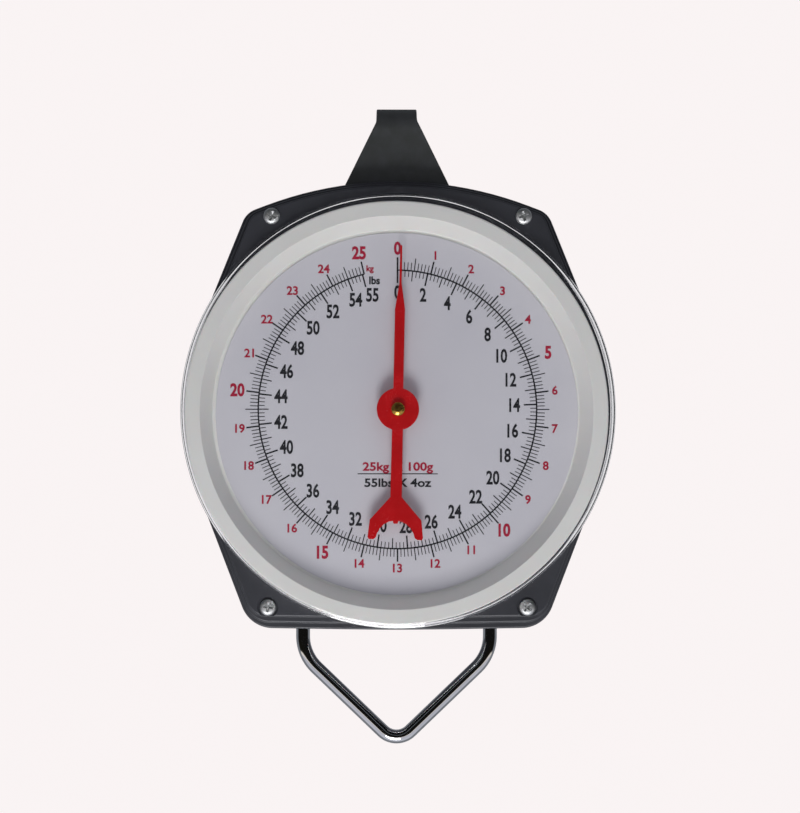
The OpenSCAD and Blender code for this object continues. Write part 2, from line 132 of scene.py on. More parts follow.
def rounded(corners: Sequence[Point3], steps: int = 5, closed: bool = True) -> list[Point2]:
    """Rounds the corners of an outline.

    Args:
        corners: each corner as (u, v, radius).
        steps: arc pieces at each rounded corner.
        closed: whether the last corner joins the first.

    Returns:
        The outline's points.
    """
    points: list[Point2] = []
    count = len(corners)
    for i, (u, v, radius) in enumerate(corners):
        ends = not closed and i in (0, count - 1)
        if radius <= 0 or ends:
            points.append((u, v))
            continue
        here = Vector((u, v))
        before = (Vector(corners[i - 1][:2]) - here).normalized()
        after = (Vector(corners[(i + 1) % count][:2]) - here).normalized()
        half = before.angle(after) / 2
        reach = radius / math.tan(half)
        centre = here + (before + after).normalized() * (radius / math.sin(half))
        start = here + before * reach - centre
        sweep = (here + after * reach - centre).angle_signed(start)
        for k in range(steps + 1):
            turn = Matrix.Rotation(sweep * k / steps, 2)
            points.append(tuple(centre + turn @ start))
    return points


def skin(mesh: bmesh.types.BMesh, rings: Sequence[Sequence[Vector]], wrap: bool = False) -> None:
    """Joins rings of points with quads.

    Args:
        mesh: the mesh to add to.
        rings: closed rings with the same number of points.
        wrap: whether the last ring joins the first; if not, both ends are capped.
    """
    rows = [[mesh.verts.new(p) for p in ring] for ring in rings]
    pairs = list(zip(rows, rows[1:] + ([rows[0]] if wrap else [])))
    for low, high in pairs:
        count = len(low)
        for k in range(count):
            mesh.faces.new((low[k], low[(k + 1) % count], high[(k + 1) % count], high[k]))
    if not wrap:
        mesh.faces.new(list(reversed(rows[0])))
        mesh.faces.new(rows[-1])


def turned(
    profile: Sequence[Point2], centre: Vector, sides: int = 96, mesh: bmesh.types.BMesh | None = None
) -> bmesh.types.BMesh:
    """Turns a closed profile round an axis along Y.

    Args:
        profile: points of (radius, depth); a profile that starts or ends on the axis is closed there.
        centre: the point that depths are counted from, in metres.
        sides: steps round the axis.
        mesh: a mesh to add to, or None for a new one.

    Returns:
        The mesh.
    """
    mesh = mesh or bmesh.new()
    solid = profile[0][0] < 1e-6 and profile[-1][0] < 1e-6
    body = profile[1:-1] if solid else profile
    rings = []
    for radius, depth in body:
        ring = [Vector((*polar(radius, 360 * k / sides), depth)) for k in range(sides)]
        rings.append([centre + Vector((p.x, p.z, p.y)) * MM for p in ring])
    if not solid:
        skin(mesh, rings, wrap=True)
        return mesh
    rows = [[mesh.verts.new(p) for p in ring] for ring in rings]
    for low, high in zip(rows, rows[1:]):
        for k in range(sides):
            mesh.faces.new((low[k], low[(k + 1) % sides], high[(k + 1) % sides], high[k]))
    for row, (_, depth), back in ((rows[0], profile[0], True), (rows[-1], profile[-1], False)):
        tip = mesh.verts.new(centre + Vector((0, depth * MM, 0)))
        for k in range(sides):
            pair = (row[(k + 1) % sides], row[k]) if back else (row[k], row[(k + 1) % sides])
            mesh.faces.new((*pair, tip))
    return mesh


def tube(
    mesh: bmesh.types.BMesh, path: Sequence[Vector], radius: Callable[[float], float], sides: int
) -> None:
    """Sweeps a round wire along a path and caps its ends.

    Args:
        mesh: the mesh to add to.
        path: points along the wire's middle, in metres.
        radius: gives the wire's radius in millimetres at a share of the path.
        sides: steps round the wire.
    """
    tangent = (path[1] - path[0]).normalized()
    across = tangent.orthogonal().normalized()
    rings = []
    for i, point in enumerate(path):
        ahead = path[min(i + 1, len(path) - 1)] - path[max(i - 1, 0)]
        turn = tangent.rotation_difference(ahead.normalized())
        across = (turn @ across).normalized()
        tangent = ahead.normalized()
        other = tangent.cross(across)
        size = radius(i / (len(path) - 1)) * MM
        ring = []
        for k in range(sides):
            a = 2 * math.pi * k / sides
            ring.append(point + (across * math.cos(a) + other * math.sin(a)) * size)
        rings.append(ring)
    skin(mesh, rings)


def plate(mesh: bmesh.types.BMesh, outline: Sequence[Point2], front: float, back: float) -> None:
    """Adds a flat plate whose faces stand across Y.

    Args:
        mesh: the mesh to add to.
        outline: points of (x, z) in millimetres.
        front: depth of the front face.
        back: depth of the back face.
    """
    skin(mesh, [[at(x, depth, z) for x, z in outline] for depth in (front, back)])


def block(mesh: bmesh.types.BMesh, low: Sequence[float], high: Sequence[float]) -> None:
    """Adds a box.

    Args:
        mesh: the mesh to add to.
        low: its lowest corner in millimetres, at case heights.
        high: its highest corner.
    """
    outline = [(low[0], low[2]), (high[0], low[2]), (high[0], high[2]), (low[0], high[2])]
    plate(mesh, outline, low[1], high[1])


# ---- Pieces ----


def link(name: str, mesh: bmesh.types.BMesh) -> bpy.types.Object:
    """Makes an object of a mesh.

    Args:
        name: the object's name.
        mesh: the mesh, which is freed.

    Returns:
        The object, in the scene.
    """
    bmesh.ops.recalc_face_normals(mesh, faces=mesh.faces)
    data = bpy.data.meshes.new(name)
    mesh.to_mesh(data)
    mesh.free()
    piece = bpy.data.objects.new(name, data)
    bpy.context.scene.collection.objects.link(piece)
    return piece


def settle(piece: bpy.types.Object) -> None:
    """Applies a piece's modifiers to its mesh."""
    graph = bpy.context.evaluated_depsgraph_get()
    data = bpy.data.meshes.new_from_object(piece.evaluated_get(graph), depsgraph=graph)
    piece.modifiers.clear()
    old = piece.data
    piece.data = data
    bpy.data.meshes.remove(old)


def combine(piece: bpy.types.Object, other: bmesh.types.BMesh, operation: str = "DIFFERENCE") -> None:
    """Takes shapes out of a piece, or adds them to it.

    Args:
        piece: the piece to change.
        other: closed solids that are clear of each other.
        operation: "DIFFERENCE" or "UNION".
    """
    helper = link("helper", other)
    change = piece.modifiers.new("combine", "BOOLEAN")
    change.operation = operation
    change.solver = "EXACT"
    change.object = helper
    settle(piece)
    bpy.data.objects.remove(helper)


def sheet(
    name: str, outlines: Sequence[Sequence[Point2]], thick: float, round_over: float
) -> bpy.types.Object:
    """Cuts a shape with holes out of sheet and rounds its edges.

    Args:
        name: the piece's name.
        outlines: the shape's outline and its holes, as points of (x, z).
        thick: thickness of the sheet.
        round_over: radius of its edges.

    Returns:
        The piece, standing across Y with its middle at the origin.
    """
    curve = bpy.data.curves.new(name, "CURVE")
    curve.dimensions = "2D"
    curve.fill_mode = "BOTH"
    curve.extrude = (thick / 2 - round_over) * MM
    curve.bevel_depth = round_over * MM
    curve.bevel_resolution = 2
    curve.offset = -round_over * MM
    for outline in outlines:
        spline = curve.splines.new("POLY")
        spline.points.add(len(outline) - 1)
        for point, (x, z) in zip(spline.points, outline):
            point.co = (x * MM, z * MM, 0, 1)
        spline.use_cyclic_u = True
    drawn = bpy.data.objects.new(name, curve)
    bpy.context.scene.collection.objects.link(drawn)
    graph = bpy.context.evaluated_depsgraph_get()
    flat = bpy.data.meshes.new_from_object(drawn.evaluated_get(graph), depsgraph=graph)
    flat.transform(Matrix.Rotation(math.pi / 2, 4, "X"))
    mesh = bmesh.new()
    mesh.from_mesh(flat)
    bmesh.ops.remove_doubles(mesh, verts=mesh.verts, dist=0.002 * MM)
    bpy.data.objects.remove(drawn)
    bpy.data.curves.remove(curve)
    bpy.data.meshes.remove(flat)
    return link(name, mesh)


def soften(piece: bpy.types.Object, width: float, steps: int = 2, limit: float = 30) -> None:
    """Rounds a piece's sharp edges.

    Args:
        piece: the piece.
        width: how far the rounding reaches from each edge, in millimetres.
        steps: segments across the rounding.
        limit: the least angle of an edge that is rounded, in degrees.
    """
    change = piece.modifiers.new("soften", "BEVEL")
    change.width = width * MM
    change.segments = steps
    change.limit_method = "ANGLE"
    change.angle_limit = math.radians(limit)
    change.use_clamp_overlap = True
    settle(piece)


@dataclass(frozen=True)
class Place:
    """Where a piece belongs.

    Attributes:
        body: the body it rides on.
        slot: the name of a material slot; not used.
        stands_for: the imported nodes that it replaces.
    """

    body: Body
    slot: str
    stands_for: tuple[str, ...] = ()


def fit(
    piece: bpy.types.Object, place: Place, finish: bpy.types.Material, sharp: float = 40
) -> bpy.types.Object:
    """Gives a piece its finish, its shading and its place.

    Args:
        piece: the piece.
        place: where it belongs.
        finish: its material.
        sharp: edges over this angle, in degrees, stay crisp.

    Returns:
        The piece.
    """
    piece.data.materials.clear()
    piece.data.materials.append(finish)
    piece.data.polygons.foreach_set("use_smooth", [True] * len(piece.data.polygons))
    piece.data.set_sharp_from_angle(angle=math.radians(sharp))
    weigh = piece.modifiers.new("weigh", "WEIGHTED_NORMAL")
    weigh.keep_sharp = True
    settle(piece)
    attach(piece, place.body.value)
    if place.stands_for:
        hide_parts(*place.stands_for)
    LOG.info("%s: %d faces on %s", piece.name, len(piece.data.polygons), place.body.value)
    return piece


# ---- Finishes ----


def linear(code: str) -> tuple[float, float, float, float]:
    """Turns an sRGB hex colour into linear light.

    Args:
        code: the colour as #rrggbb.

    Returns:
        Red, green, blue and an alpha of one.
    """
    shares = [int(code[i : i + 2], 16) / 255 for i in (1, 3, 5)]
    light = [c / 12.92 if c <= 0.04045 else ((c + 0.055) / 1.055) ** 2.4 for c in shares]
    return light[0], light[1], light[2], 1.0


def add_node(
    tree: bpy.types.NodeTree, kind: str, settings: dict | None = None, links: dict | None = None
) -> bpy.types.Node:
    """Adds a shader node.

    Args:
        tree: the tree to add to.
        kind: the node's type.
        settings: values of sockets, by name, or of the node's own properties.
        links: output sockets to link, by the name of the input socket.

    Returns:
        The node.
    """
    node = tree.nodes.new(kind)
    for key, value in (settings or {}).items():
        if key in node.inputs:
            node.inputs[key].default_value = value
        else:
            setattr(node, key, value)
    for key, source in (links or {}).items():
        tree.links.new(source, node.inputs[key])
    return node


def per_metre(size_mm: float) -> float:
    """Turns a pattern's size in millimetres into a texture scale for coordinates in metres."""
    return 1 / (size_mm * MM)


@dataclass(frozen=True)
class Finish:
    """A surface finish with cloudy colour, uneven gloss and a fine relief.

    Attributes:
        name: what the piece is made of and how its surface was made.
        tint: the main colour.
        shade: the colour of its darker patches.
        metallic: one for bare metal.
        gloss: the least and the most roughness.
        cloud_mm: size of the patches.
        grain_mm: size of the relief's grain.
        relief_mm: height of the relief.
        stretch: how far the grain is drawn out along X, Y and Z.
        ior: index of refraction, for a finish that isn't metal.
        sheen_through: share of light that soaks in, for pale plastic.
    """

    name: str
    tint: str
    shade: str
    metallic: float = 0.0
    gloss: Point2 = (0.4, 0.5)
    cloud_mm: float = 20.0
    grain_mm: float = 0.4
    relief_mm: float = 0.01
    stretch: tuple[float, float, float] = (1.0, 1.0, 1.0)
    ior: float = 1.5
    sheen_through: float = 0.0

    def material(self) -> bpy.types.Material:
        """Builds the finish.

        Returns:
            The material.
        """
        known = bpy.data.materials.get(self.name)
        if known:
            return known
        material = bpy.data.materials.new(self.name)
        material.use_nodes = True
        tree = material.node_tree
        shader = tree.nodes["Principled BSDF"]
        place = add_node(tree, "ShaderNodeTexCoord").outputs["Object"]
        drawn = add_node(
            tree, "ShaderNodeMapping", {"Scale": tuple(1 / s for s in self.stretch)}, {"Vector": place}
        ).outputs["Vector"]
        cloud = add_node(
            tree,
            "ShaderNodeTexNoise",
            {"Scale": per_metre(self.cloud_mm), "Detail": 5.0, "Roughness": 0.6},
            {"Vector": place},
        ).outputs["Fac"]
        grain = add_node(
            tree,
            "ShaderNodeTexNoise",
            {"Scale": per_metre(self.grain_mm), "Detail": 3.0, "Roughness": 0.55},
            {"Vector": drawn},
        ).outputs["Fac"]
        ramp = add_node(tree, "ShaderNodeValToRGB", links={"Fac": cloud})
        ramp.color_ramp.elements[0].position = 0.35
        ramp.color_ramp.elements[0].color = linear(self.shade)
        ramp.color_ramp.elements[1].position = 0.65
        ramp.color_ramp.elements[1].color = linear(self.tint)
        mixed = add_node(tree, "ShaderNodeMath", {"operation": "ADD", "use_clamp": False})
        tree.links.new(cloud, mixed.inputs[0])
        tree.links.new(grain, mixed.inputs[1])
        uneven = add_node(
            tree,
            "ShaderNodeMapRange",
            {"From Min": 0.7, "From Max": 1.3, "To Min": self.gloss[0], "To Max": self.gloss[1]},
            {"Value": mixed.outputs[0]},
        )
        bump = add_node(
            tree, "ShaderNodeBump", {"Strength": 1.0, "Distance": self.relief_mm * MM}, {"Height": grain}
        )
        tree.links.new(ramp.outputs["Color"], shader.inputs["Base Color"])
        tree.links.new(uneven.outputs["Result"], shader.inputs["Roughness"])
        tree.links.new(bump.outputs["Normal"], shader.inputs["Normal"])
        shader.inputs["Metallic"].default_value = self.metallic
        if self.metallic < 0.5:
            shader.inputs["IOR"].default_value = self.ior
        if self.sheen_through:
            shader.inputs["Subsurface Weight"].default_value = self.sheen_through
            shader.inputs["Subsurface Scale"].default_value = 1.2 * MM
        return material


@dataclass(frozen=True)
class ClearAcrylic:
    """Moulded acrylic that shows what is behind it.

    Attributes:
        name: the material's name.
        tint: the faint colour of the plastic.
        wave_mm: size of the slow waves that moulding leaves, which make reflections wander.
        wave_height_mm: height of those waves.
    """

    name: str = "clear acrylic, injection moulded"
    tint: str = "#fbfbfc"
    wave_mm: float = 40.0
    wave_height_mm: float = 0.02

    def material(self) -> bpy.types.Material:
        """Builds the finish.

        Returns:
            The material.
        """
        material = bpy.data.materials.new(self.name)
        material.use_nodes = True
        tree = material.node_tree
        shader = tree.nodes["Principled BSDF"]
        shader.inputs["Base Color"].default_value = linear(self.tint)
        shader.inputs["Transmission Weight"].default_value = 1.0
        shader.inputs["Roughness"].default_value = 0.02
        shader.inputs["IOR"].default_value = 1.49
        place = add_node(tree, "ShaderNodeTexCoord").outputs["Object"]
        wave = add_node(
            tree, "ShaderNodeTexNoise", {"Scale": per_metre(self.wave_mm), "Detail": 1.0}, {"Vector": place}
        ).outputs["Fac"]
        bump = add_node(
            tree, "ShaderNodeBump", {"Strength": 1.0, "Distance": self.wave_height_mm * MM}, {"Height": wave}
        )
        tree.links.new(bump.outputs["Normal"], shader.inputs["Normal"])
        return material


# Moulded ABS, with the fine spark-eroded grain of its mould: a soft, broken sheen.
BLACK_ABS = Finish(
    "black ABS, satin moulded", "#3c3d43", "#35363b", gloss=(0.32, 0.46), cloud_mm=45, grain_mm=0.5,
    relief_mm=0.012, ior=1.54,
)
# Moulded ABS from a polished mould: smooth, slightly warm white.
WHITE_ABS = Finish(
    "white ABS, smooth moulded", "#efeee9", "#eae9e3", gloss=(0.34, 0.42), cloud_mm=60, grain_mm=1.2,
    relief_mm=0.004, ior=1.54, sheen_through=0.1,
)
# Aluminium sheet under a cool white lacquer: flat and even, with a faint roll of the sheet.
DIAL_LACQUER = Finish(
    "lacquered aluminium dial", "#dad8dd", "#d6d4da", gloss=(0.36, 0.42), cloud_mm=50, grain_mm=0.6,
    relief_mm=0.002, ior=1.5,
)
# Pad-printed ink: thin, even and a little duller than the lacquer.
RED_INK = Finish(
    "red printing ink", "#b3163a", "#a81236", gloss=(0.45, 0.55), cloud_mm=6, grain_mm=0.3, relief_mm=0.002,
)
BLACK_INK = Finish(
    "black printing ink", "#1c1c24", "#16161c", gloss=(0.45, 0.55), cloud_mm=6, grain_mm=0.3,
    relief_mm=0.002,
)
# Sprayed gloss enamel on thin aluminium: wet-looking, with a slight orange peel.
RED_ENAMEL = Finish(
    "red gloss enamel", "#cf0c14", "#c00a10", gloss=(0.2, 0.3), cloud_mm=15, grain_mm=0.9, relief_mm=0.004,
)
# Baked dark enamel on steel strip: dull, with a fine texture.
GREY_ENAMEL = Finish(
    "dark grey textured enamel", "#434546", "#3b3d3c", gloss=(0.5, 0.65), cloud_mm=8, grain_mm=0.7,
    relief_mm=0.03,
)
# Bright nickel and chrome plate over drawn bar: mirror-like, with faint drawing marks.
CHROME = Finish(
    "bright chrome plate", "#dfe0e2", "#d2d3d6", metallic=1.0, gloss=(0.04, 0.07), cloud_mm=9, grain_mm=1.5,
    relief_mm=0.001, stretch=(1, 1, 3),
)
# Zinc plate, passivated: bright but slightly cloudy.
ZINC = Finish(
    "bright zinc plate", "#dfe0e0", "#c6c8c9", metallic=1.0, gloss=(0.46, 0.58), cloud_mm=2.5, grain_mm=0.3,
    relief_mm=0.006,
)
# Lathe-turned steel: bright, with rings from the tool.
TURNED_STEEL = Finish(
    "turned bright steel", "#b9bbbd", "#a8aaac", metallic=1.0, gloss=(0.22, 0.36), cloud_mm=4,
    grain_mm=0.25, relief_mm=0.008, stretch=(12, 1, 12),
)
# Cold-drawn bar: straight marks along its length.
DRAWN_STEEL = Finish(
    "cold-drawn steel bar", "#96999c", "#84878a", metallic=1.0, gloss=(0.3, 0.45), cloud_mm=10,
    grain_mm=0.3, relief_mm=0.008, stretch=(20, 1, 1),
)
# Hot-dip galvanised sheet: cool grey with a patchy spangle.
GALVANISED = Finish(
    "galvanised sheet steel", "#b4b8bb", "#9ca0a4", metallic=1.0, gloss=(0.3, 0.5), cloud_mm=7,
    grain_mm=1.0, relief_mm=0.01,
)
# Oiled spring wire: dark, close-grained and glossy.
SPRING_STEEL = Finish(
    "oiled spring steel", "#7f8388", "#65696e", metallic=1.0, gloss=(0.2, 0.34), cloud_mm=5, grain_mm=0.3,
    relief_mm=0.005,
)
# Machined brass: warm and bright, with fine tool marks.
BRASS = Finish(
    "machined brass", "#c9a352", "#b58f42", metallic=1.0, gloss=(0.16, 0.3), cloud_mm=3, grain_mm=0.2,
    relief_mm=0.006, stretch=(8, 1, 8),
)
# Unfilled nylon: slightly waxy.
BLACK_NYLON = Finish(
    "black nylon, moulded", "#1d1e20", "#17181a", gloss=(0.4, 0.52), cloud_mm=5, grain_mm=0.4,
    relief_mm=0.008, ior=1.53,
)
NATURAL_NYLON = Finish(
    "natural nylon, machined", "#e3dfd2", "#d6d1c2", gloss=(0.4, 0.5), cloud_mm=5, grain_mm=0.4,
    relief_mm=0.01, ior=1.53, sheen_through=0.2,
)


# ---- Case ----


@dataclass(frozen=True)
class Outline:
    """The case seen from the front: straight sides joined by rounded corners.

    Attributes:
        sides: each side as (direction of its outward normal, distance, inset of the raised face).
        corners: radius of the corner after each side.
        step_degrees: turn of one step round a corner.
    """

    sides: tuple[tuple[float, float, float], ...] = (
        (69.2, 120.03, 2.5),
        (22.0, 107.5, 3.0),
        (-20.9, 107.5, 3.0),
        (-89.07, 109.49, 6.0),
        (-90.93, 109.49, 6.0),
        (-159.1, 107.5, 3.0),
        (158.0, 107.5, 3.0),
        (110.8, 120.03, 2.5),
    )
    corners: tuple[float, ...] = (11.0, 107.5, 16.5, 1500.0, 16.5, 107.5, 11.0, 185.5)
    step_degrees: float = 2.0

    def ring(self, share: float, extra: float, depth: float) -> list[Vector]:
        """Draws the outline, moved inwards.

        Args:
            share: share of the raised face's inset.
            extra: a further inset, the same on every side.
            depth: where the ring lies.

        Returns:
            The ring's points in metres.
        """
        points: list[Vector] = []
        count = len(self.sides)
        for i in range(count):
            a, p, first = self.sides[i]
            b, q, second = self.sides[(i + 1) % count]
            first, second = share * first + extra, share * second + extra
            p, q = p - first, q - second
            d = math.sin(math.radians(b - a))
            ca, sa = polar(1, a)
            cb, sb = polar(1, b)
            meet = Vector(((p * sb - q * sa) / d, (q * ca - p * cb) / d))
            turn = (b - a + 180) % 360 - 180
            radius = max(0.5, self.corners[i] - max(first, second))
            centre = meet - Vector(polar(radius / math.cos(math.radians(turn / 2)), a + turn / 2))
            steps = max(3, math.ceil(abs(turn) / self.step_degrees))
            for k in range(steps + 1):
                spot = centre + Vector(polar(radius, a + turn * k / steps))
                points.append(at(spot.x, depth, spot.y))
        return points


def circle_facing(ring: Sequence[Vector], radius: float, depth: float) -> list[Vector]:
    """Draws a circle with one point opposite each point of a ring.

    Args:
        ring: the ring round it.
        radius: the circle's radius in millimetres.
        depth: where the circle lies.

    Returns:
        The circle's points in metres.
    """
    middle = at(0, 0, 0)
    turns = [math.degrees(math.atan2(p.z - middle.z, p.x)) for p in ring]
    spots = [polar(radius, turn) for turn in turns]
    return [at(x, depth, z) for x, z in spots]


@dataclass
class Case:
    """The two moulded covers and the screws that hold them.

    Attributes:
        outline: the case's outline.
        wall: wall thickness.
        back: depth of the back.
        window: radius of the hole in the face.
        round_over: radius of the moulded edges.
        seam: half the width of the groove where the covers meet.
        screws: each case screw as (x, z, recess depth, turn of its cross).
        rear_screws: the chassis screws as (x, z, turn of the cross).
    """

    outline: Outline = field(default_factory=Outline)
    wall: float = 2.5
    back: float = 27.0
    window: float = 101.0
    round_over: float = 0.9
    seam: float = 0.35
    screws: tuple[tuple[float, float, float, float], ...] = (
        (-63.1, 97.6, 0.0, 20.0),
        (63.1, 97.6, 0.0, -12.0),
        (-64.9, -98.0, 1.2, 8.0),
        (64.9, -98.0, 1.2, 40.0),
    )
    rear_screws: tuple[tuple[float, float, float], ...] = (
        (22.0, 36.0, 15.0),
        (-22.0, 36.0, -30.0),
        (22.0, -22.0, 50.0),
        (-22.0, -22.0, 5.0),
    )

    def front_cover(self) -> None:
        """Builds the front cover: a hollow shell with a stepped rim and a round window."""
        r = self.round_over
        arc = [(r - r * math.cos(t), r - r * math.sin(t)) for t in (math.radians(15 * k) for k in range(7))]
        levels = [(0.0, self.seam, 0.0), (0.0, 0.0, -self.seam)]
        for share, foot, depth in ((0.0, -self.seam, -14.0), (0.5, -14.0, -18.0), (1.0, -18.0, FACE_Y)):
            if share:
                levels += [(share, -0.35, foot), (share, -0.1, foot - 0.1), (share, 0.0, foot - 0.35)]
            levels += [(share, inward, depth + drop) for inward, drop in arc]
        rings = [self.outline.ring(*level) for level in levels]
        lip = rings[-1]
        rings.append(circle_facing(lip, self.window + 0.4, FACE_Y))
        rings.append(circle_facing(lip, self.window, FACE_Y + 0.4))
        rings.append(circle_facing(lip, self.window, FACE_Y + self.wall))
        rings.append(self.outline.ring(1.0, self.wall, FACE_Y + self.wall))
        rings.append(self.outline.ring(1.0, self.wall, -13.0))
        rings.append(self.outline.ring(0.0, self.wall, -12.0))
        rings.append(self.outline.ring(0.0, self.wall, 0.0))
        mesh = bmesh.new()
        skin(mesh, rings, wrap=True)
        cover = link("front_cover_shell", mesh)
        posts = bmesh.new()
        for x, z, _, _ in self.screws:
            turned([(0, -20.75), (4.5, -20.75), (4.5, 0), (0, 0)], at(x, 0, z), 40, posts)
        combine(cover, posts, "UNION")
        tools = bmesh.new()
        for x, z, recess, _ in self.screws:
            if recess:
                well = [(0, -5), (5.6, -5), (5.6, -0.3), (5.2, 0.1), (5.2, recess - 0.2), (5.0, recess)]
                well.append((0, recess))
                turned(well, at(x, FACE_Y, z), 48, tools)
        self.openings(tools, -9.25)
        combine(cover, tools)
        fit(cover, Place(Body.CASE, "case_black", ("front_cover",)), BLACK_ABS.material())

    def openings(self, tools: bmesh.types.BMesh, slot_depth: float) -> None:
        """Adds the shapes of the hanger's slot and the bail's holes.

        Args:
            tools: the mesh of cutting shapes.
            slot_depth: depth of the middle of the slot.
        """
        block(tools, (-26.9, slot_depth - 1.55, 100), (26.9, slot_depth + 1.55, 120))
        for side in (-1, 1):
            ring = [polar(5.9, 11.25 * k) for k in range(32)]
            skin(tools, [[at(side * LEG_X + x, y, z) for x, y in ring] for z in (-114, -102)])

    def back_cover(self) -> None:
        """Builds the back cover: a deep tray with a groove round its back and wells for its fittings."""
        edge = self.outline
        r = self.round_over
        arc = [(r - r * math.cos(t), r - r * math.sin(t)) for t in (math.radians(15 * k) for k in range(7))]
        levels = [(0.0, self.seam, 0.0), (0.0, 0.0, self.seam)]
        levels += [(0.0, inward, 23.0 - drop) for inward, drop in arc]
        levels += [(0.0, 1.65, 23.0), (0.0, 1.9, 23.1), (0.0, 2.0, 23.35)]
        levels += [(0.0, 2.0 + inward, self.back - drop) for inward, drop in arc]
        groove = [(8.0, 0.0), (8.3, 0.6), (9.7, 0.6), (10.0, 0.0)]
        levels += [(0.0, inward, self.back - drop) for inward, drop in groove]
        rings = [edge.ring(*level) for level in levels]
        inside = [edge.ring(0.0, self.wall, 0.0), edge.ring(0.0, self.wall, 22.0), edge.ring(0.0, 4.5, 24.5)]
        mesh = bmesh.new()
        outer = [[mesh.verts.new(p) for p in ring] for ring in rings]
        inner = [[mesh.verts.new(p) for p in ring] for ring in inside]
        for low, high in [*zip(outer, outer[1:]), *zip(inner[1:], inner), (inner[0], outer[0])]:
            count = len(low)
            for k in range(count):
                mesh.faces.new((low[k], low[(k + 1) % count], high[(k + 1) % count], high[k]))
        mesh.faces.new(outer[-1])
        mesh.faces.new(inner[-1])
        cover = link("back_cover_shell", mesh)
        posts = bmesh.new()
        solid = [(0, 12.5), (5.3, 12.5), (5.3, 25.5), (0, 25.5)]
        for x, z, _ in self.rear_screws:
            turned(solid, at(x, 0, z), 40, posts)
        turned([(0, 17.5), (16, 17.5), (16, 25.5), (0, 25.5)], at(0, 0, KNOB_Z), 64, posts)
        for x, z, _, _ in self.screws:
            turned([(0, 0), (4.5, 0), (4.5, 25.5), (0, 25.5)], at(x, 0, z), 40, posts)
        combine(cover, posts, "UNION")
        tools = bmesh.new()
        for x, z, _ in self.rear_screws:
            well = [(0, 24.5), (5.2, 24.5), (5.2, 26.7), (5.6, 27.1), (5.6, 30), (0, 30)]
            turned(well, at(x, 0, z), 48, tools)
        knob_well = [(0, 20.0), (13.5, 20.0), (13.5, 26.5), (14.1, 27.1), (14.1, 30), (0, 30)]
        turned(knob_well, at(0, 0, KNOB_Z), 72, tools)
        self.openings(tools, 9.25)
        combine(cover, tools)
        fit(cover, Place(Body.CASE, "case_black", ("back_cover",)), BLACK_ABS.material())

    @staticmethod
    def screw_head(mesh: bmesh.types.BMesh, spot: Vector, turn: float, facing: int) -> None:
        """Adds a pan head with a cross recess.

        Args:
            mesh: the mesh to add to.
            spot: the middle of the head's bearing face, in metres.
            turn: how far the cross is turned, in degrees.
            facing: -1 for a head that faces forwards, 1 for one that faces back.
        """
        dome = [(0.0, 0.0), (4.1, 0.0), (4.1, -0.5), (3.95, -1.1), (3.6, -1.6), (3.05, -1.95), (2.3, -2.12),
                (1.4, -2.18), (0.0, -2.2)]
        body = link("head", turned(dome, Vector(), 48))
        cross = bmesh.new()
        rings = []
        for depth, reach, half in ((-0.7, 1.1, 0.3), (-1.9, 2.45, 0.55), (-3.0, 2.9, 0.9)):
            arm = [Vector((half, half)), Vector((reach, half)), Vector((reach, -half))]
            turns = [Matrix.Rotation(math.radians(-quarter), 2) for quarter in (0, 90, 180, 270)]
            ring = [quarter @ p for quarter in turns for p in arm]
            rings.append([Vector((p.x, depth, p.y)) * MM for p in ring])
        skin(cross, rings)
        combine(body, cross)
        spin = Matrix.Rotation(math.radians(turn), 4, "Y")
        flip = Matrix.Rotation(math.pi if facing > 0 else 0, 4, "Z")
        body.data.transform(Matrix.Translation(spot) @ flip @ spin)
        mesh.from_mesh(body.data)
        bpy.data.objects.remove(body)

    def fasteners(self) -> None:
        """Builds the case screws and the chassis screws."""
        front = bmesh.new()
        for x, z, recess, turn in self.screws:
            self.screw_head(front, at(x, FACE_Y + recess, z), turn, -1)
            seat = FACE_Y + recess
            turned([(0, seat), (1.9, seat), (1.9, 11.4), (1.3, 12), (0, 12)], at(x, 0, z), 24, front)
        place = Place(Body.CASE, "zinc_screws", ("case_screws",))
        fit(link("case_screws_pan", front), place, ZINC.material())
        rear = bmesh.new()
        for x, z, turn in self.rear_screws:
            self.screw_head(rear, at(x, 24.5, z), turn, 1)
            turned([(0, 10.5), (1.3, 10.5), (1.9, 11.1), (1.9, 24.5), (0, 24.5)], at(x, 0, z), 24, rear)
        place = Place(Body.CASE, "zinc_screws", ("chassis_screws",))
        fit(link("chassis_screws_pan", rear), place, ZINC.material())

    def bushes(self) -> None:
        """Builds the nylon bushes that the bail's legs run in."""
        mesh = bmesh.new()
        profile = rounded([(3.58, -108.7, 0.3), (5.85, -108.7, 0.4), (5.85, -105.7, 0), (7.7, -105.7, 0.2),
                           (7.7, -103.7, 0.3), (3.58, -103.7, 0.3)], 3)
        for side in (-1, 1):
            rings = []
            for radius, height in profile:
                ring = [polar(radius, 360 * k / 40) for k in range(40)]
                rings.append([at(side * LEG_X + x, y, height) for x, y in ring])
            skin(mesh, rings, wrap=True)
        place = Place(Body.CASE, "nylon_black", ("bail_bushes",))
        fit(link("bail_bush_pair", mesh), place, BLACK_NYLON.material())

    def build(self) -> None:
        """Builds the case."""
        self.front_cover()
        self.back_cover()
        self.fasteners()
        self.bushes()


# ---- Dial ----


@dataclass(frozen=True)
class Ticks:
    """One family of divisions along the dial's arc.

    Attributes:
        every: the value between two ticks of the family.
        unless: bigger divisions that take these ticks' places.
        length: how far a tick stands out from the arc.
        width: its width.
    """

    every: float
    unless: tuple[float, ...]
    length: float
    width: float


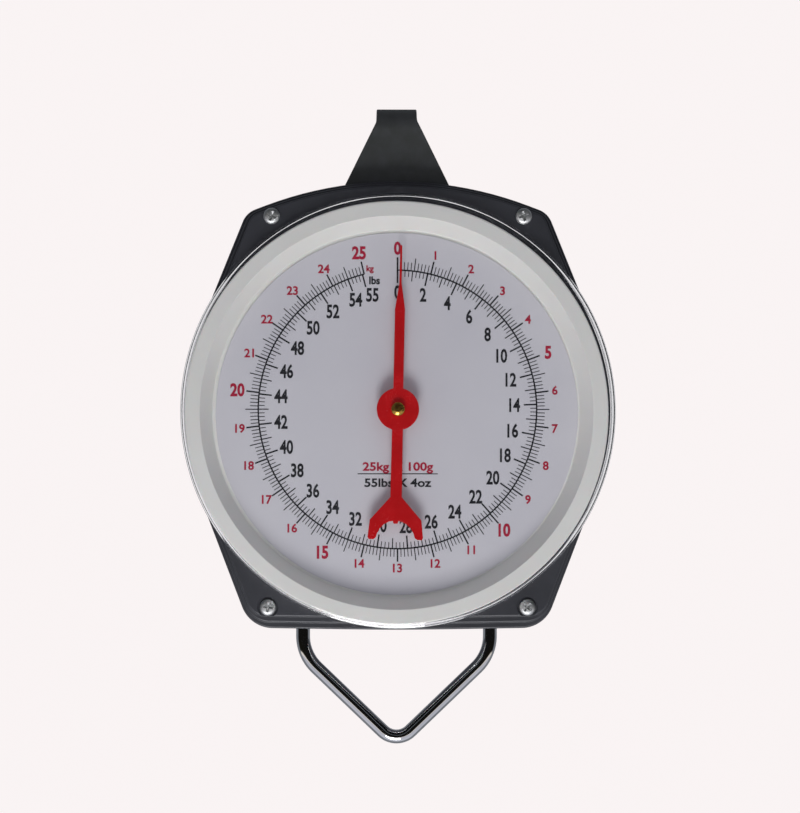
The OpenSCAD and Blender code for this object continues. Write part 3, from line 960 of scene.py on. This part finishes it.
@dataclass
class Dial:
    """The bowl, the printed card, its print and the lens.

    Attributes:
        card_r: radius of the card.
        bowl_at: how far the bowl sits off the middle of the case, which its play allows.
        card_at: the same for the card.
        lens_r: outer radius of the lens.
        arc_r: radius of the printed arc.
        arc_w: width of its line.
        print_mm: thickness of the ink.
        turn_kg: kilograms in a full turn.
        full_kg: where the kilogram scale ends.
        full_lb: where the pound scale ends.
        lb_per_kg: pounds in a kilogram, as the dial counts them.
    """

    card_r: float = 90.7
    bowl_at: tuple[float, float, float] = (-0.7, 0.0, -0.9)
    card_at: tuple[float, float, float] = (-0.3, 0.0, -1.2)
    lens_r: float = 108.6
    arc_r: float = 69.7
    arc_w: float = 0.75
    print_mm: float = 0.05
    turn_kg: float = 26.0
    full_kg: float = 25.0
    full_lb: float = 55.0
    lb_per_kg: float = 2.20462

    def spot(self, radius: float, clockwise: float) -> Point2:
        """Finds a place on the dial.

        Args:
            radius: distance from the spindle.
            clockwise: degrees from the top.

        Returns:
            The x and z of the place.
        """
        x, z = polar(radius, 90 - clockwise)
        return x, z + SPINDLE_Z

    def kg_turn(self, kilograms: float) -> float:
        """Gives the degrees clockwise from zero for a weight in kilograms."""
        return kilograms * 360 / self.turn_kg

    def lb_turn(self, pounds: float) -> float:
        """Gives the degrees clockwise from zero for a weight in pounds."""
        return self.kg_turn(pounds / self.lb_per_kg)

    def bowl(self) -> None:
        """Builds the white bowl round the card."""
        front = [(7, -17, 0), (92, -17, 0.8), (98.2, -29, 0.5), (105.8, -29, 0.8)]
        behind = [(105.8, -22, 0.3), (103.8, -22, 0.3), (103.8, -27, 0.5), (99.2, -27, 0.8), (93.0, -15, 0.8)]
        profile = rounded([*front, *behind, (7, -15, 0)], 6)
        bowl = turned(profile, at(*self.bowl_at), 256)
        place = Place(Body.CASE, "bowl_white", ("dial_bowl",))
        fit(link("dial_bowl_dish", bowl), place, WHITE_ABS.material())

    def card(self) -> None:
        """Builds the card under the print."""
        edge = self.card_r
        profile = rounded([(5, -17, 0), (5, CARD_Y, 0.1), (edge, CARD_Y, 0.25), (edge, -17, 0)], 3)
        card = turned(profile, at(*self.card_at), 256)
        place = Place(Body.CASE, "dial_print", ("dial_card",))
        fit(link("dial_card_face", card), place, DIAL_LACQUER.material())

    def lens(self) -> None:
        """Builds the lens: a shallow dome with a rounded rim and a skirt that stands on the case."""
        rim, rise, wall = 3.0, 2.6, 1.6
        front = FACE_Y - 11.6 - rise
        flat = self.lens_r - rim
        bow = (flat * flat + rise * rise) / (2 * rise)
        steps = 24
        radii = [flat * k / steps for k in range(steps + 1)]
        outer = [(r, front + bow - math.sqrt(bow * bow - r**2)) for r in radii]
        edge = [(flat + rim * math.sin(a), front + rise + rim * (1 - math.cos(a)))
                for a in (math.radians(9 * k) for k in range(1, 11))]
        skirt = rounded([(self.lens_r, -29, 0), (self.lens_r, FACE_Y, 0.4), (self.lens_r - 1.5, FACE_Y, 0.4),
                         (self.lens_r - 1.5, -29, 0)], 3, closed=False)
        inner_rim = rim - 1.5
        inner = [(flat + inner_rim * math.cos(a), front + rise + rim - (rim - wall) * math.sin(a))
                 for a in (math.radians(15 * k) for k in range(7))]
        hollow = [(r, y + wall) for r, y in reversed(outer[:-1])]
        profile = outer + edge + skirt + inner + hollow
        lens = link("lens_dome", turned(profile, at(0, 0, 0), 256))
        lens.visible_shadow = False
        lens.visible_diffuse = False
        fit(lens, Place(Body.CASE, "clear_lens", ("lens",)), ClearAcrylic().material())

    def tick(self, mesh: bmesh.types.BMesh, turn: float, low: float, high: float, width: float) -> None:
        """Prints a tick.

        Args:
            mesh: the mesh to add to.
            turn: degrees clockwise from zero.
            low: its inner radius.
            high: its outer radius.
            width: its width.
        """
        side = Vector(polar(width / 2, -turn))
        ends = [Vector(self.spot(r, turn)) for r in (low, high)]
        outline = [tuple(ends[0] - side), tuple(ends[0] + side), tuple(ends[1] + side), tuple(ends[1] - side)]
        plate(mesh, outline, CARD_Y - self.print_mm, CARD_Y)

    def ladder(self, mesh: bmesh.types.BMesh, families: Sequence[Ticks], turn: Callable[[float], float],
               end: float, outward: int) -> None:
        """Prints the divisions of one unit.

        Args:
            mesh: the mesh to add to.
            families: the divisions, from the biggest to the smallest.
            turn: gives the degrees clockwise for a value.
            end: the last value.
            outward: 1 for ticks outside the arc, -1 for ticks inside.
        """
        for family in families:
            for k in range(1, round(end / family.every)):
                value = k * family.every
                if any(abs(value / big - round(value / big)) < 1e-6 for big in family.unless):
                    continue
                reach = self.arc_r + outward * family.length
                self.tick(mesh, turn(value), min(reach, self.arc_r), max(reach, self.arc_r), family.width)

    def divisions(self) -> None:
        """Prints the arc and every tick."""
        mesh = bmesh.new()
        full = self.kg_turn(self.full_kg)
        steps = 346
        rim = [self.spot(self.arc_r + self.arc_w / 2, full * k / steps) for k in range(steps + 1)]
        rim += [self.spot(self.arc_r - self.arc_w / 2, full * k / steps) for k in range(steps, -1, -1)]
        count = len(rim)
        low, high = ([mesh.verts.new(at(x, y, z)) for x, z in rim] for y in (CARD_Y - self.print_mm, CARD_Y))
        for k in range(count):
            mesh.faces.new((low[k], low[(k + 1) % count], high[(k + 1) % count], high[k]))
        for k in range(steps):
            for row in (low, high):
                mesh.faces.new((row[k], row[k + 1], row[count - 2 - k], row[count - 1 - k]))
        kilograms = [Ticks(1, (), 6.5, 0.78), Ticks(0.5, (1,), 6.4, 0.5), Ticks(0.1, (0.5,), 4.1, 0.42)]
        pounds = [Ticks(2, (), 6.4, 0.78), Ticks(1, (2,), 5.2, 0.55), Ticks(0.25, (1,), 3.2, 0.42)]
        self.ladder(mesh, kilograms, self.kg_turn, self.full_kg, 1)
        self.ladder(mesh, pounds, self.lb_turn, self.full_lb, -1)
        self.tick(mesh, 0, self.arc_r - 6.4, self.arc_r + 6.5, 0.85)
        self.tick(mesh, full, self.arc_r, self.arc_r + 6.5, 0.78)
        self.tick(mesh, self.lb_turn(self.full_lb), self.arc_r - 6.4, self.arc_r, 0.78)
        fit(link("print_divisions", mesh), Place(Body.CASE, "dial_print"), BLACK_INK.material())

    def letters(self, mesh: bmesh.types.BMesh, text: str, spot: Point2, height: float, width: float,
                weight: float) -> None:
        """Prints a word or a number.

        Args:
            mesh: the mesh to add to.
            text: what it says.
            spot: x and z of the middle of its digits.
            height: height of a digit.
            width: how far the letters are drawn in, 1 for none.
            weight: how far the strokes are thickened, over the height.
        """
        curve = bpy.data.curves.new("letters", "FONT")
        curve.body = text
        curve.align_x = "CENTER"
        curve.resolution_u = 3
        curve.offset = weight
        curve.extrude = 0.5
        word = bpy.data.objects.new("letters", curve)
        bpy.context.scene.collection.objects.link(word)
        graph = bpy.context.evaluated_depsgraph_get()
        data = bpy.data.meshes.new_from_object(word.evaluated_get(graph), depsgraph=graph)
        xs = [v.co.x for v in data.vertices]
        middle = (min(xs) + max(xs)) / 2
        cap = DIGIT_EM + 2 * weight
        tall = height / cap
        wide = tall * width
        for vertex in data.vertices:
            x, y, z = vertex.co
            rise = (y - DIGIT_EM / 2) * tall
            vertex.co = at(spot[0] + (x - middle) * wide, CARD_Y - self.print_mm * (0.5 + z), spot[1] + rise)
        mesh.from_mesh(data)
        bpy.data.objects.remove(word)
        bpy.data.curves.remove(curve)
        bpy.data.meshes.remove(data)

    def numerals(self) -> None:
        """Prints the numerals and the words, each ink as one piece."""
        inks = {Ink.RED: bmesh.new(), Ink.BLACK: bmesh.new()}
        red, black = inks[Ink.RED], inks[Ink.BLACK]
        for value in range(26):
            turn = self.kg_turn(value)
            if value % 5:
                self.letters(red, str(value), self.spot(79.4, turn), 4.4, 1.0, 0.03)
            else:
                self.letters(red, str(value), self.spot(80.7, turn), 6.6, 0.82, 0.04)
        for value in (*range(0, 55, 2), 55):
            spread = 0.35 if value == 55 else 0.0
            self.letters(black, str(value), self.spot(58.7, self.lb_turn(value + spread)), 6.9, 0.71, 0.03)
        self.letters(red, "kg", (-13.75, 71.6), 3.1, 1.0, 0.035)
        self.letters(black, "lbs", (-11.5, 65.6), 4.0, 0.95, 0.035)
        self.letters(red, "25kg X 100g", (0.2, -27.6), 4.3, 1.19, 0.03)
        self.letters(black, "55lbs X 4oz", (0.2, -35.7), 4.3, 1.19, 0.03)
        rule = [(-20, -31.5), (20.2, -31.5), (20.2, -31.0), (-20, -31.0)]
        plate(black, rule, CARD_Y - self.print_mm, CARD_Y)
        for ink, finish in ((Ink.RED, RED_INK), (Ink.BLACK, BLACK_INK)):
            fit(link(f"print_{ink.value}", inks[ink]), Place(Body.CASE, "dial_print"), finish.material())

    def build(self) -> None:
        """Builds the dial."""
        self.bowl()
        self.card()
        self.divisions()
        self.numerals()
        self.lens()


# ---- Pointer ----


@dataclass
class Pointer:
    """The red pointer and its brass cap.

    Attributes:
        front: depth of the plate's front.
        back: depth of its back.
        lead: degrees by which it stands past zero.
        hub_r: radius of the disc round the spindle.
    """

    front: float = -25.2
    back: float = -24.0
    lead: float = 1.2
    hub_r: float = 10.6

    def outline(self) -> list[Point2]:
        """Draws the pointer: needle, disc and forked tail.

        Returns:
            The outline's points, clockwise from the needle's tip.
        """
        neck, waist = 2.5, 2.75
        start = math.degrees(math.acos(neck / self.hub_r))
        end = -math.degrees(math.acos(waist / self.hub_r))
        needle = [(0.0, 82.2), (0.5, 81.4), (0.6, 63.0), (neck, 50.0)]
        disc = [polar(self.hub_r, start + (end - start) * k / 20) for k in range(21)]
        prong = rounded([(2.9, -44.0, 2.0), (12.9, -55.4, 1.5), (13.9, -64.2, 0.4), (13.2, -65.2, 0.3),
                         (11.0, -65.2, 0.3), (9.7, -64.2, 0.3)], 4, closed=False)
        arc = [polar(9.7, 90 - a) for a in (72, 54, 36, 20)]
        crotch = [(x, z - 65.4) for x, z in arc]
        half = needle + disc + prong + crotch + [(1.4, -55.9), (1.1, -57.1), (0.4, -57.3)]
        return half + [(-x, z) for x, z in reversed(half) if x > 0]

    def build(self) -> None:
        """Builds the pointer and its cap."""
        hole = [polar(2.02, 15 * k) for k in range(24)]
        piece = sheet("pointer_plate", (self.outline(), hole), self.back - self.front, 0.25)
        piece.data.transform(Matrix.Translation(Vector((0, (self.front + self.back) / 2, 0)) * MM))
        collar = bmesh.new()
        collar.from_mesh(piece.data)
        back = self.back
        sleeve = rounded([(2.02, back, 0), (4.5, back, 0), (4.5, -20.5, 0.4), (2.02, -20.5, 0.3)], 3)
        turned(sleeve, Vector(), 40, collar)
        collar.to_mesh(piece.data)
        collar.free()
        lean = Matrix.Translation(at(0, 0, SPINDLE_Z)) @ Matrix.Rotation(math.radians(self.lead), 4, "Y")
        piece.data.transform(lean)
        fit(piece, Place(Body.POINTER, "pointer_red", ("pointer",)), RED_ENAMEL.material())
        dome = rounded([(2.2, -28.4, 0), (3.3, -27.7, 0.4), (3.5, -26.7, 0.3), (3.5, self.front, 0.15),
                        (2.02, self.front, 0)], 3, closed=False)
        profile = [(0, -28.6), (1.2, -28.55), *dome, (2.02, -27.0), (0, -27.0)]
        cap = turned(profile, at(0, 0, SPINDLE_Z), 48)
        place = Place(Body.POINTER, "brass", ("pointer_cap",))
        fit(link("pointer_cap_brass", cap), place, BRASS.material())


# ---- Hanger and bail ----


@dataclass
class Hanger:
    """The steel strap that the scale hangs by.

    Attributes:
        inside: inside radius of its bend.
        thick: thickness of the strap.
        top: width of the strap at its top.
        wide: width where it enters the case.
        shoulder: height above which it keeps its top width.
        foot: height below which it keeps its full width.
    """

    inside: float = 8.0
    thick: float = 2.5
    top: float = 20.0
    wide: float = 53.0
    shoulder: float = 146.5
    foot: float = 113.0

    def half_width(self, z: float) -> float:
        """Gives half the strap's width at a height."""
        share = min(1.0, max(0.0, (self.shoulder - z) / (self.shoulder - self.foot)))
        return (self.top + (self.wide - self.top) * share) / 2

    def build(self) -> None:
        """Builds the strap as one bent sheet."""
        legs = [84.0, 98.0, 112.0, 113.0, 114.0, 120.0, 127.0, 134.0, 139.0]
        middle = self.inside + self.thick / 2
        path = [(-middle, z, 180.0) for z in legs]
        for facing in range(180, -1, -6):
            y, z = polar(middle, facing)
            path.append((y, HANG_MM + z, facing))
        path += [(middle, z, 0.0) for z in reversed(legs)]
        rings = []
        for y, z, facing in path:
            out = Vector(polar(self.thick / 2, facing))
            near, far = Vector((y, z)) - out, Vector((y, z)) + out
            ring = [at(-self.half_width(near.y), near.x, near.y), at(self.half_width(near.y), near.x, near.y),
                    at(self.half_width(far.y), far.x, far.y), at(-self.half_width(far.y), far.x, far.y)]
            rings.append(ring)
        mesh = bmesh.new()
        skin(mesh, rings)
        strap = link("hanger_strap", mesh)
        soften(strap, 0.45, 3, 45)
        fit(strap, Place(Body.CASE, "hanger_paint", ("hanger",)), GREY_ENAMEL.material(), 50)


@dataclass
class Bail:
    """The bent bar below the case.

    Attributes:
        wire: radius of the bar.
        leg: distance from the middle to each leg.
        elbow: height of the elbows' sharp corners.
        point: height of the point's sharp corner.
        elbow_bend: radius of the bend at each elbow.
        bend: radius of the bend at the point.
        top: height of the legs' ends.
    """

    wire: float = 3.5
    leg: float = LEG_X
    elbow: float = -122.0
    point: float = -167.0
    elbow_bend: float = 22.0
    bend: float = 10.0
    top: float = -54.0

    def path(self) -> list[Vector]:
        """Draws the middle of the bar.

        Returns:
            Points in metres, from one leg's end to the other's.
        """
        left = [(-self.leg, self.top, 0), (-self.leg, self.elbow, self.elbow_bend)]
        right = [(-x, z, bend) for x, z, bend in reversed(left)]
        corners = [*left, (0, self.point, self.bend), *right]
        bent = rounded(corners, 16, closed=False)
        points = [at(bent[0][0], 0, bent[0][1])]
        for x, z in bent[1:]:
            spot = at(x, 0, z)
            gap = (spot - points[-1]).length / (6 * MM)
            last = points[-1]
            points += [last.lerp(spot, k / math.ceil(gap)) for k in range(1, math.ceil(gap) + 1)]
        return points

    def build(self) -> None:
        """Builds the bar."""
        mesh = bmesh.new()
        tube(mesh, self.path(), lambda share: self.wire, 40)
        bar = link("bail_bar", mesh)
        fit(bar, Place(Body.LOAD, "bail_chrome", ("bail",)), CHROME.material(), 60)


@dataclass
class Springs:
    """The two weighing springs.

    Attributes:
        reach: distance from the middle to each spring.
        low: height of the lower end.
        high: height of the upper end.
        coil: mean radius of the coils.
        wire: radius of the wire.
        turns: working coils in each spring.
        closed: close coils at each end, which grip the plugs.
    """

    reach: float = 30.0
    low: float = -60.5
    high: float = 89.5
    coil: float = 6.3
    wire: float = 1.1
    turns: int = 22
    closed: float = 3.0

    def build(self) -> None:
        """Builds both springs, each coiled from the lower plug up to the upper one."""
        for side, word in ((-1, "left"), (1, "right")):
            path = []
            steps = 20
            total = self.turns + 2 * self.closed
            tight = 2.15 * self.wire
            span = self.high - self.low - 2 * self.wire
            loose = (span - 2 * self.closed * tight) / self.turns
            for k in range(round(total * steps) + 1):
                turn = k / steps
                first = min(turn, self.closed)
                last = max(0.0, turn - self.closed - self.turns)
                height = self.low + self.wire + tight * (first + last) + loose * (turn - first - last)
                x, y = polar(self.coil, 360 * turn)
                path.append(at(side * self.reach + x, y, height))
            mesh = bmesh.new()
            tube(mesh, path, lambda share: self.wire, 12)
            spring = link(f"spring_coil_{word}", mesh)
            spring.data.materials.append(SPRING_STEEL.material())
            spring.data.polygons.foreach_set("use_smooth", [True] * len(spring.data.polygons))
            spring.data.set_sharp_from_angle(angle=math.radians(60))
            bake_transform(spring)
            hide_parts(f"spring_{word}")
            LOG.info("%s: %d faces, case to load", spring.name, len(spring.data.polygons))


# ---- Zero adjuster ----


@dataclass
class ZeroKnob:
    """The fluted knob at the back.

    Attributes:
        height: height of its axis.
        radius: radius over the flutes.
        flutes: how many flutes it has.
        front: depth of its inner face.
        back: depth of its outer face.
    """

    height: float = KNOB_Z
    radius: float = 11.0
    flutes: int = 20
    front: float = 20.3
    back: float = 26.7

    def build(self) -> None:
        """Builds the knob: fluted rim, dished face and a slot for a coin."""
        outline = []
        for k in range(self.flutes):
            for share, dip in ((0.0, 0.62), (0.12, 0.4), (0.24, 0.08), (0.5, 0.0), (0.76, 0.08), (0.88, 0.4)):
                x, z = polar(self.radius - dip, 360 * (k + share) / self.flutes)
                outline.append((x, z + self.height))
        mesh = bmesh.new()
        plate(mesh, outline, self.front, self.back)
        knob = link("zero_knob_fluted", mesh)
        soften(knob, 0.35, 2, 50)
        tools = bmesh.new()
        turned([(0, self.back - 0.7), (8.0, self.back - 0.7), (8.6, self.back + 0.1), (8.6, 29), (0, 29)],
               at(0, 0, self.height), 64, tools)
        combine(knob, tools)
        slot = bmesh.new()
        block(slot, (-6.5, self.back - 2.6, self.height - 0.8), (6.5, self.back + 1, self.height + 0.8))
        combine(knob, slot)
        shaft = bmesh.new()
        shaft.from_mesh(knob.data)
        rod = [(0, 1), (2.7, 1), (3, 1.3), (3, self.front), (0, self.front)]
        turned(rod, at(0, 0, self.height), 32, shaft)
        shaft.to_mesh(knob.data)
        shaft.free()
        fit(knob, Place(Body.ZERO, "knob_black", ("zero_knob",)), BLACK_ABS.material())


# ---- Works ----


@dataclass
class Works:
    """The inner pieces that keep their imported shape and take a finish."""

    finishes: dict[Finish, tuple[str, ...]] = field(
        default_factory=lambda: {
            GALVANISED: ("front_plate", "rear_plate"),
            TURNED_STEEL: (
                "chassis_pillars", "hanger_rivets", "upper_plugs", "lower_plugs", "spindle", "zero_cam",
            ),
            DRAWN_STEEL: ("anchor_bar", "yoke"),
            ZINC: ("bowl_screws", "rack_screws", "bail_nuts"),
            BRASS: ("rack", "pinion", "front_bush", "rear_bush"),
            NATURAL_NYLON: ("rack_guide",),
            SPRING_STEEL: ("spindle_clip", "knob_clip"),
        }
    )

    def build(self) -> None:
        """Gives each node its finish."""
        for finish, nodes in self.finishes.items():
            for node in nodes:
                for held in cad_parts[node].material_slots:
                    held.material = finish.material()
                LOG.info("%s: %s", node, finish.name)


# ---- Studio ----


@dataclass
class Studio:
    """Floor, light and camera.

    Attributes:
        paper: colour of the floor.
        aim: the point in the middle of the picture, in millimetres at case heights.
        frame_mm: height of what the picture takes in, at that point.
        lens_mm: focal length.
        azimuth: degrees by which the camera stands to the right.
        elevation: degrees by which it stands above.
        fill: strength of the even light from all round.
    """

    paper: str = "#fbf5f5"
    aim: tuple[float, float, float] = (1.05, -25.0, 2.3)
    frame_mm: float = 406.1
    lens_mm: float = 280.0
    azimuth: float = -1.6
    elevation: float = -1.2
    fill: float = 0.4

    def camera(self) -> None:
        """Sets up the camera in front of the dial."""
        data = bpy.data.cameras.new("camera")
        data.sensor_fit = "VERTICAL"
        data.sensor_height = 36.0
        data.lens = self.lens_mm
        data.clip_end = 50
        camera = bpy.data.objects.new("camera", data)
        bpy.context.scene.collection.objects.link(camera)
        distance = self.frame_mm * MM * self.lens_mm / data.sensor_height
        a, e = math.radians(self.azimuth), math.radians(self.elevation)
        away = Vector((math.sin(a) * math.cos(e), -math.cos(a) * math.cos(e), math.sin(e)))
        target = at(*self.aim)
        camera.location = target + away * distance
        camera.rotation_euler = (-away).to_track_quat("-Z", "Y").to_euler()
        bpy.context.scene.camera = camera

    def floor(self) -> None:
        """Lays the pale floor, which curves up into a backdrop all round."""
        curve = (math.radians(a) for a in range(6, 91, 6))
        rise = [(4 + 2 * math.sin(a), 2 - 2 * math.cos(a)) for a in curve]
        profile = [(0.02, 0.0), (4.0, 0.0), *rise, (6.0, 6.0)]
        mesh = bmesh.new()
        low = CAD_BOX[0][2] - 0.09
        rows = []
        for radius, height in profile:
            spots = [polar(radius, 360 * k / 72) for k in range(72)]
            rows.append([mesh.verts.new(Vector((x, y, low + height))) for x, y in spots])
        for inner, outer in zip(rows, rows[1:]):
            for k in range(72):
                mesh.faces.new((inner[k], inner[(k + 1) % 72], outer[(k + 1) % 72], outer[k]))
        mesh.faces.new(rows[0])
        floor = link("floor", mesh)
        floor.data.polygons.foreach_set("use_smooth", [True] * len(floor.data.polygons))
        material = bpy.data.materials.new("studio paper")
        material.use_nodes = True
        shader = material.node_tree.nodes["Principled BSDF"]
        shader.inputs["Base Color"].default_value = (0.02, 0.02, 0.02, 1)
        shader.inputs["Roughness"].default_value = 1.0
        shader.inputs["Specular IOR Level"].default_value = 0.0
        shader.inputs["Emission Color"].default_value = linear(self.paper)
        shader.inputs["Emission Strength"].default_value = 0.98
        floor.data.materials.append(material)
        floor.visible_shadow = False
        floor.visible_diffuse = False
        floor.visible_glossy = False
        floor.visible_transmission = False

    def softbox(
        self, name: str, azimuth: float, elevation: float, distance: float, size: float, watts: float
    ) -> None:
        """Hangs an area light that faces the dial.

        Args:
            name: the light's name.
            azimuth: degrees to the right of the dial's axis.
            elevation: degrees above it.
            distance: metres from the middle of the case.
            size: metres across.
            watts: its power.
        """
        data = bpy.data.lights.new(name, "AREA")
        data.shape = "SQUARE"
        data.size = size
        data.energy = watts
        light = bpy.data.objects.new(name, data)
        a, e = math.radians(azimuth), math.radians(elevation)
        away = Vector((math.sin(a) * math.cos(e), -math.cos(a) * math.cos(e), math.sin(e)))
        light.location = at(0, 0, 0) + away * distance
        light.rotation_euler = (-away).to_track_quat("-Z", "Y").to_euler()
        light.visible_camera = False
        bpy.context.scene.collection.objects.link(light)

    def surroundings(self) -> None:
        """Lights the room: an even fill, and for reflections a bright floor and back wall in a dark room."""
        world = bpy.data.worlds.new("room")
        bpy.context.scene.world = world
        world.use_nodes = True
        tree = world.node_tree
        fill = tree.nodes["Background"]
        fill.inputs["Color"].default_value = linear("#eff1fa")
        fill.inputs["Strength"].default_value = self.fill
        way = add_node(tree, "ShaderNodeTexCoord").outputs["Generated"]
        split = add_node(tree, "ShaderNodeSeparateXYZ", links={"Vector": way})
        full = {"From Min": -1.0, "From Max": 1.0}
        ramp = add_node(tree, "ShaderNodeMapRange", full, {"Value": split.outputs["Z"]})
        seen = add_node(tree, "ShaderNodeValToRGB", links={"Fac": ramp.outputs["Result"]})
        stops = seen.color_ramp.elements
        stops[0].color = linear("#dcdde6")
        stops[1].color = linear("#26282c")
        for height, code in ((-0.45, "#c3c3cc"), (-0.36, "#fff6ea"), (-0.31, "#17150f"), (0.3, "#131316"),
                             (0.34, "#8f9599"), (0.39, "#101113"), (0.8, "#0c0d10")):
            stops.new((height + 1) / 2).color = linear(code)
        mirror = add_node(tree, "ShaderNodeBackground", links={"Color": seen.outputs["Color"]})
        ray = add_node(tree, "ShaderNodeLightPath")
        wall = add_node(tree, "ShaderNodeMixShader", links={"Fac": ray.outputs["Is Transmission Ray"]})
        for socket, code in ((wall.inputs[1], "#85888d"), (wall.inputs[2], "#f2f1f3")):
            paint = add_node(tree, "ShaderNodeBackground", {"Color": linear(code)})
            tree.links.new(paint.outputs["Background"], socket)
        edge = {"From Min": -0.1, "From Max": 0.1}
        past = add_node(tree, "ShaderNodeMapRange", edge, {"Value": split.outputs["Y"]})
        around = add_node(tree, "ShaderNodeMixShader", links={"Fac": past.outputs["Result"]})
        tree.links.new(mirror.outputs["Background"], around.inputs[1])
        tree.links.new(wall.outputs["Shader"], around.inputs[2])
        glossy = ray.outputs["Is Glossy Ray"]
        both = add_node(tree, "ShaderNodeMixShader", links={"Fac": glossy})
        tree.links.new(fill.outputs["Background"], both.inputs[1])
        tree.links.new(around.outputs["Shader"], both.inputs[2])
        tree.links.new(both.outputs["Shader"], tree.nodes["World Output"].inputs["Surface"])

    def build(self) -> None:
        """Sets up the studio."""
        self.camera()
        self.floor()
        self.surroundings()
        self.softbox("key_light", -6, -48, 1.3, 0.5, 8.8)
        bpy.context.scene.view_settings.view_transform = "Standard"


def main() -> None:
    """Builds the scale and its studio."""
    logging.basicConfig(level=logging.INFO, format="%(message)s")
    for part in (Studio(), Case(), Dial(), Pointer(), Hanger(), Bail(), Springs(), ZeroKnob(), Works()):
        LOG.info("-- %s", type(part).__name__)
        part.build()


if __name__ == "__main__":
    main()
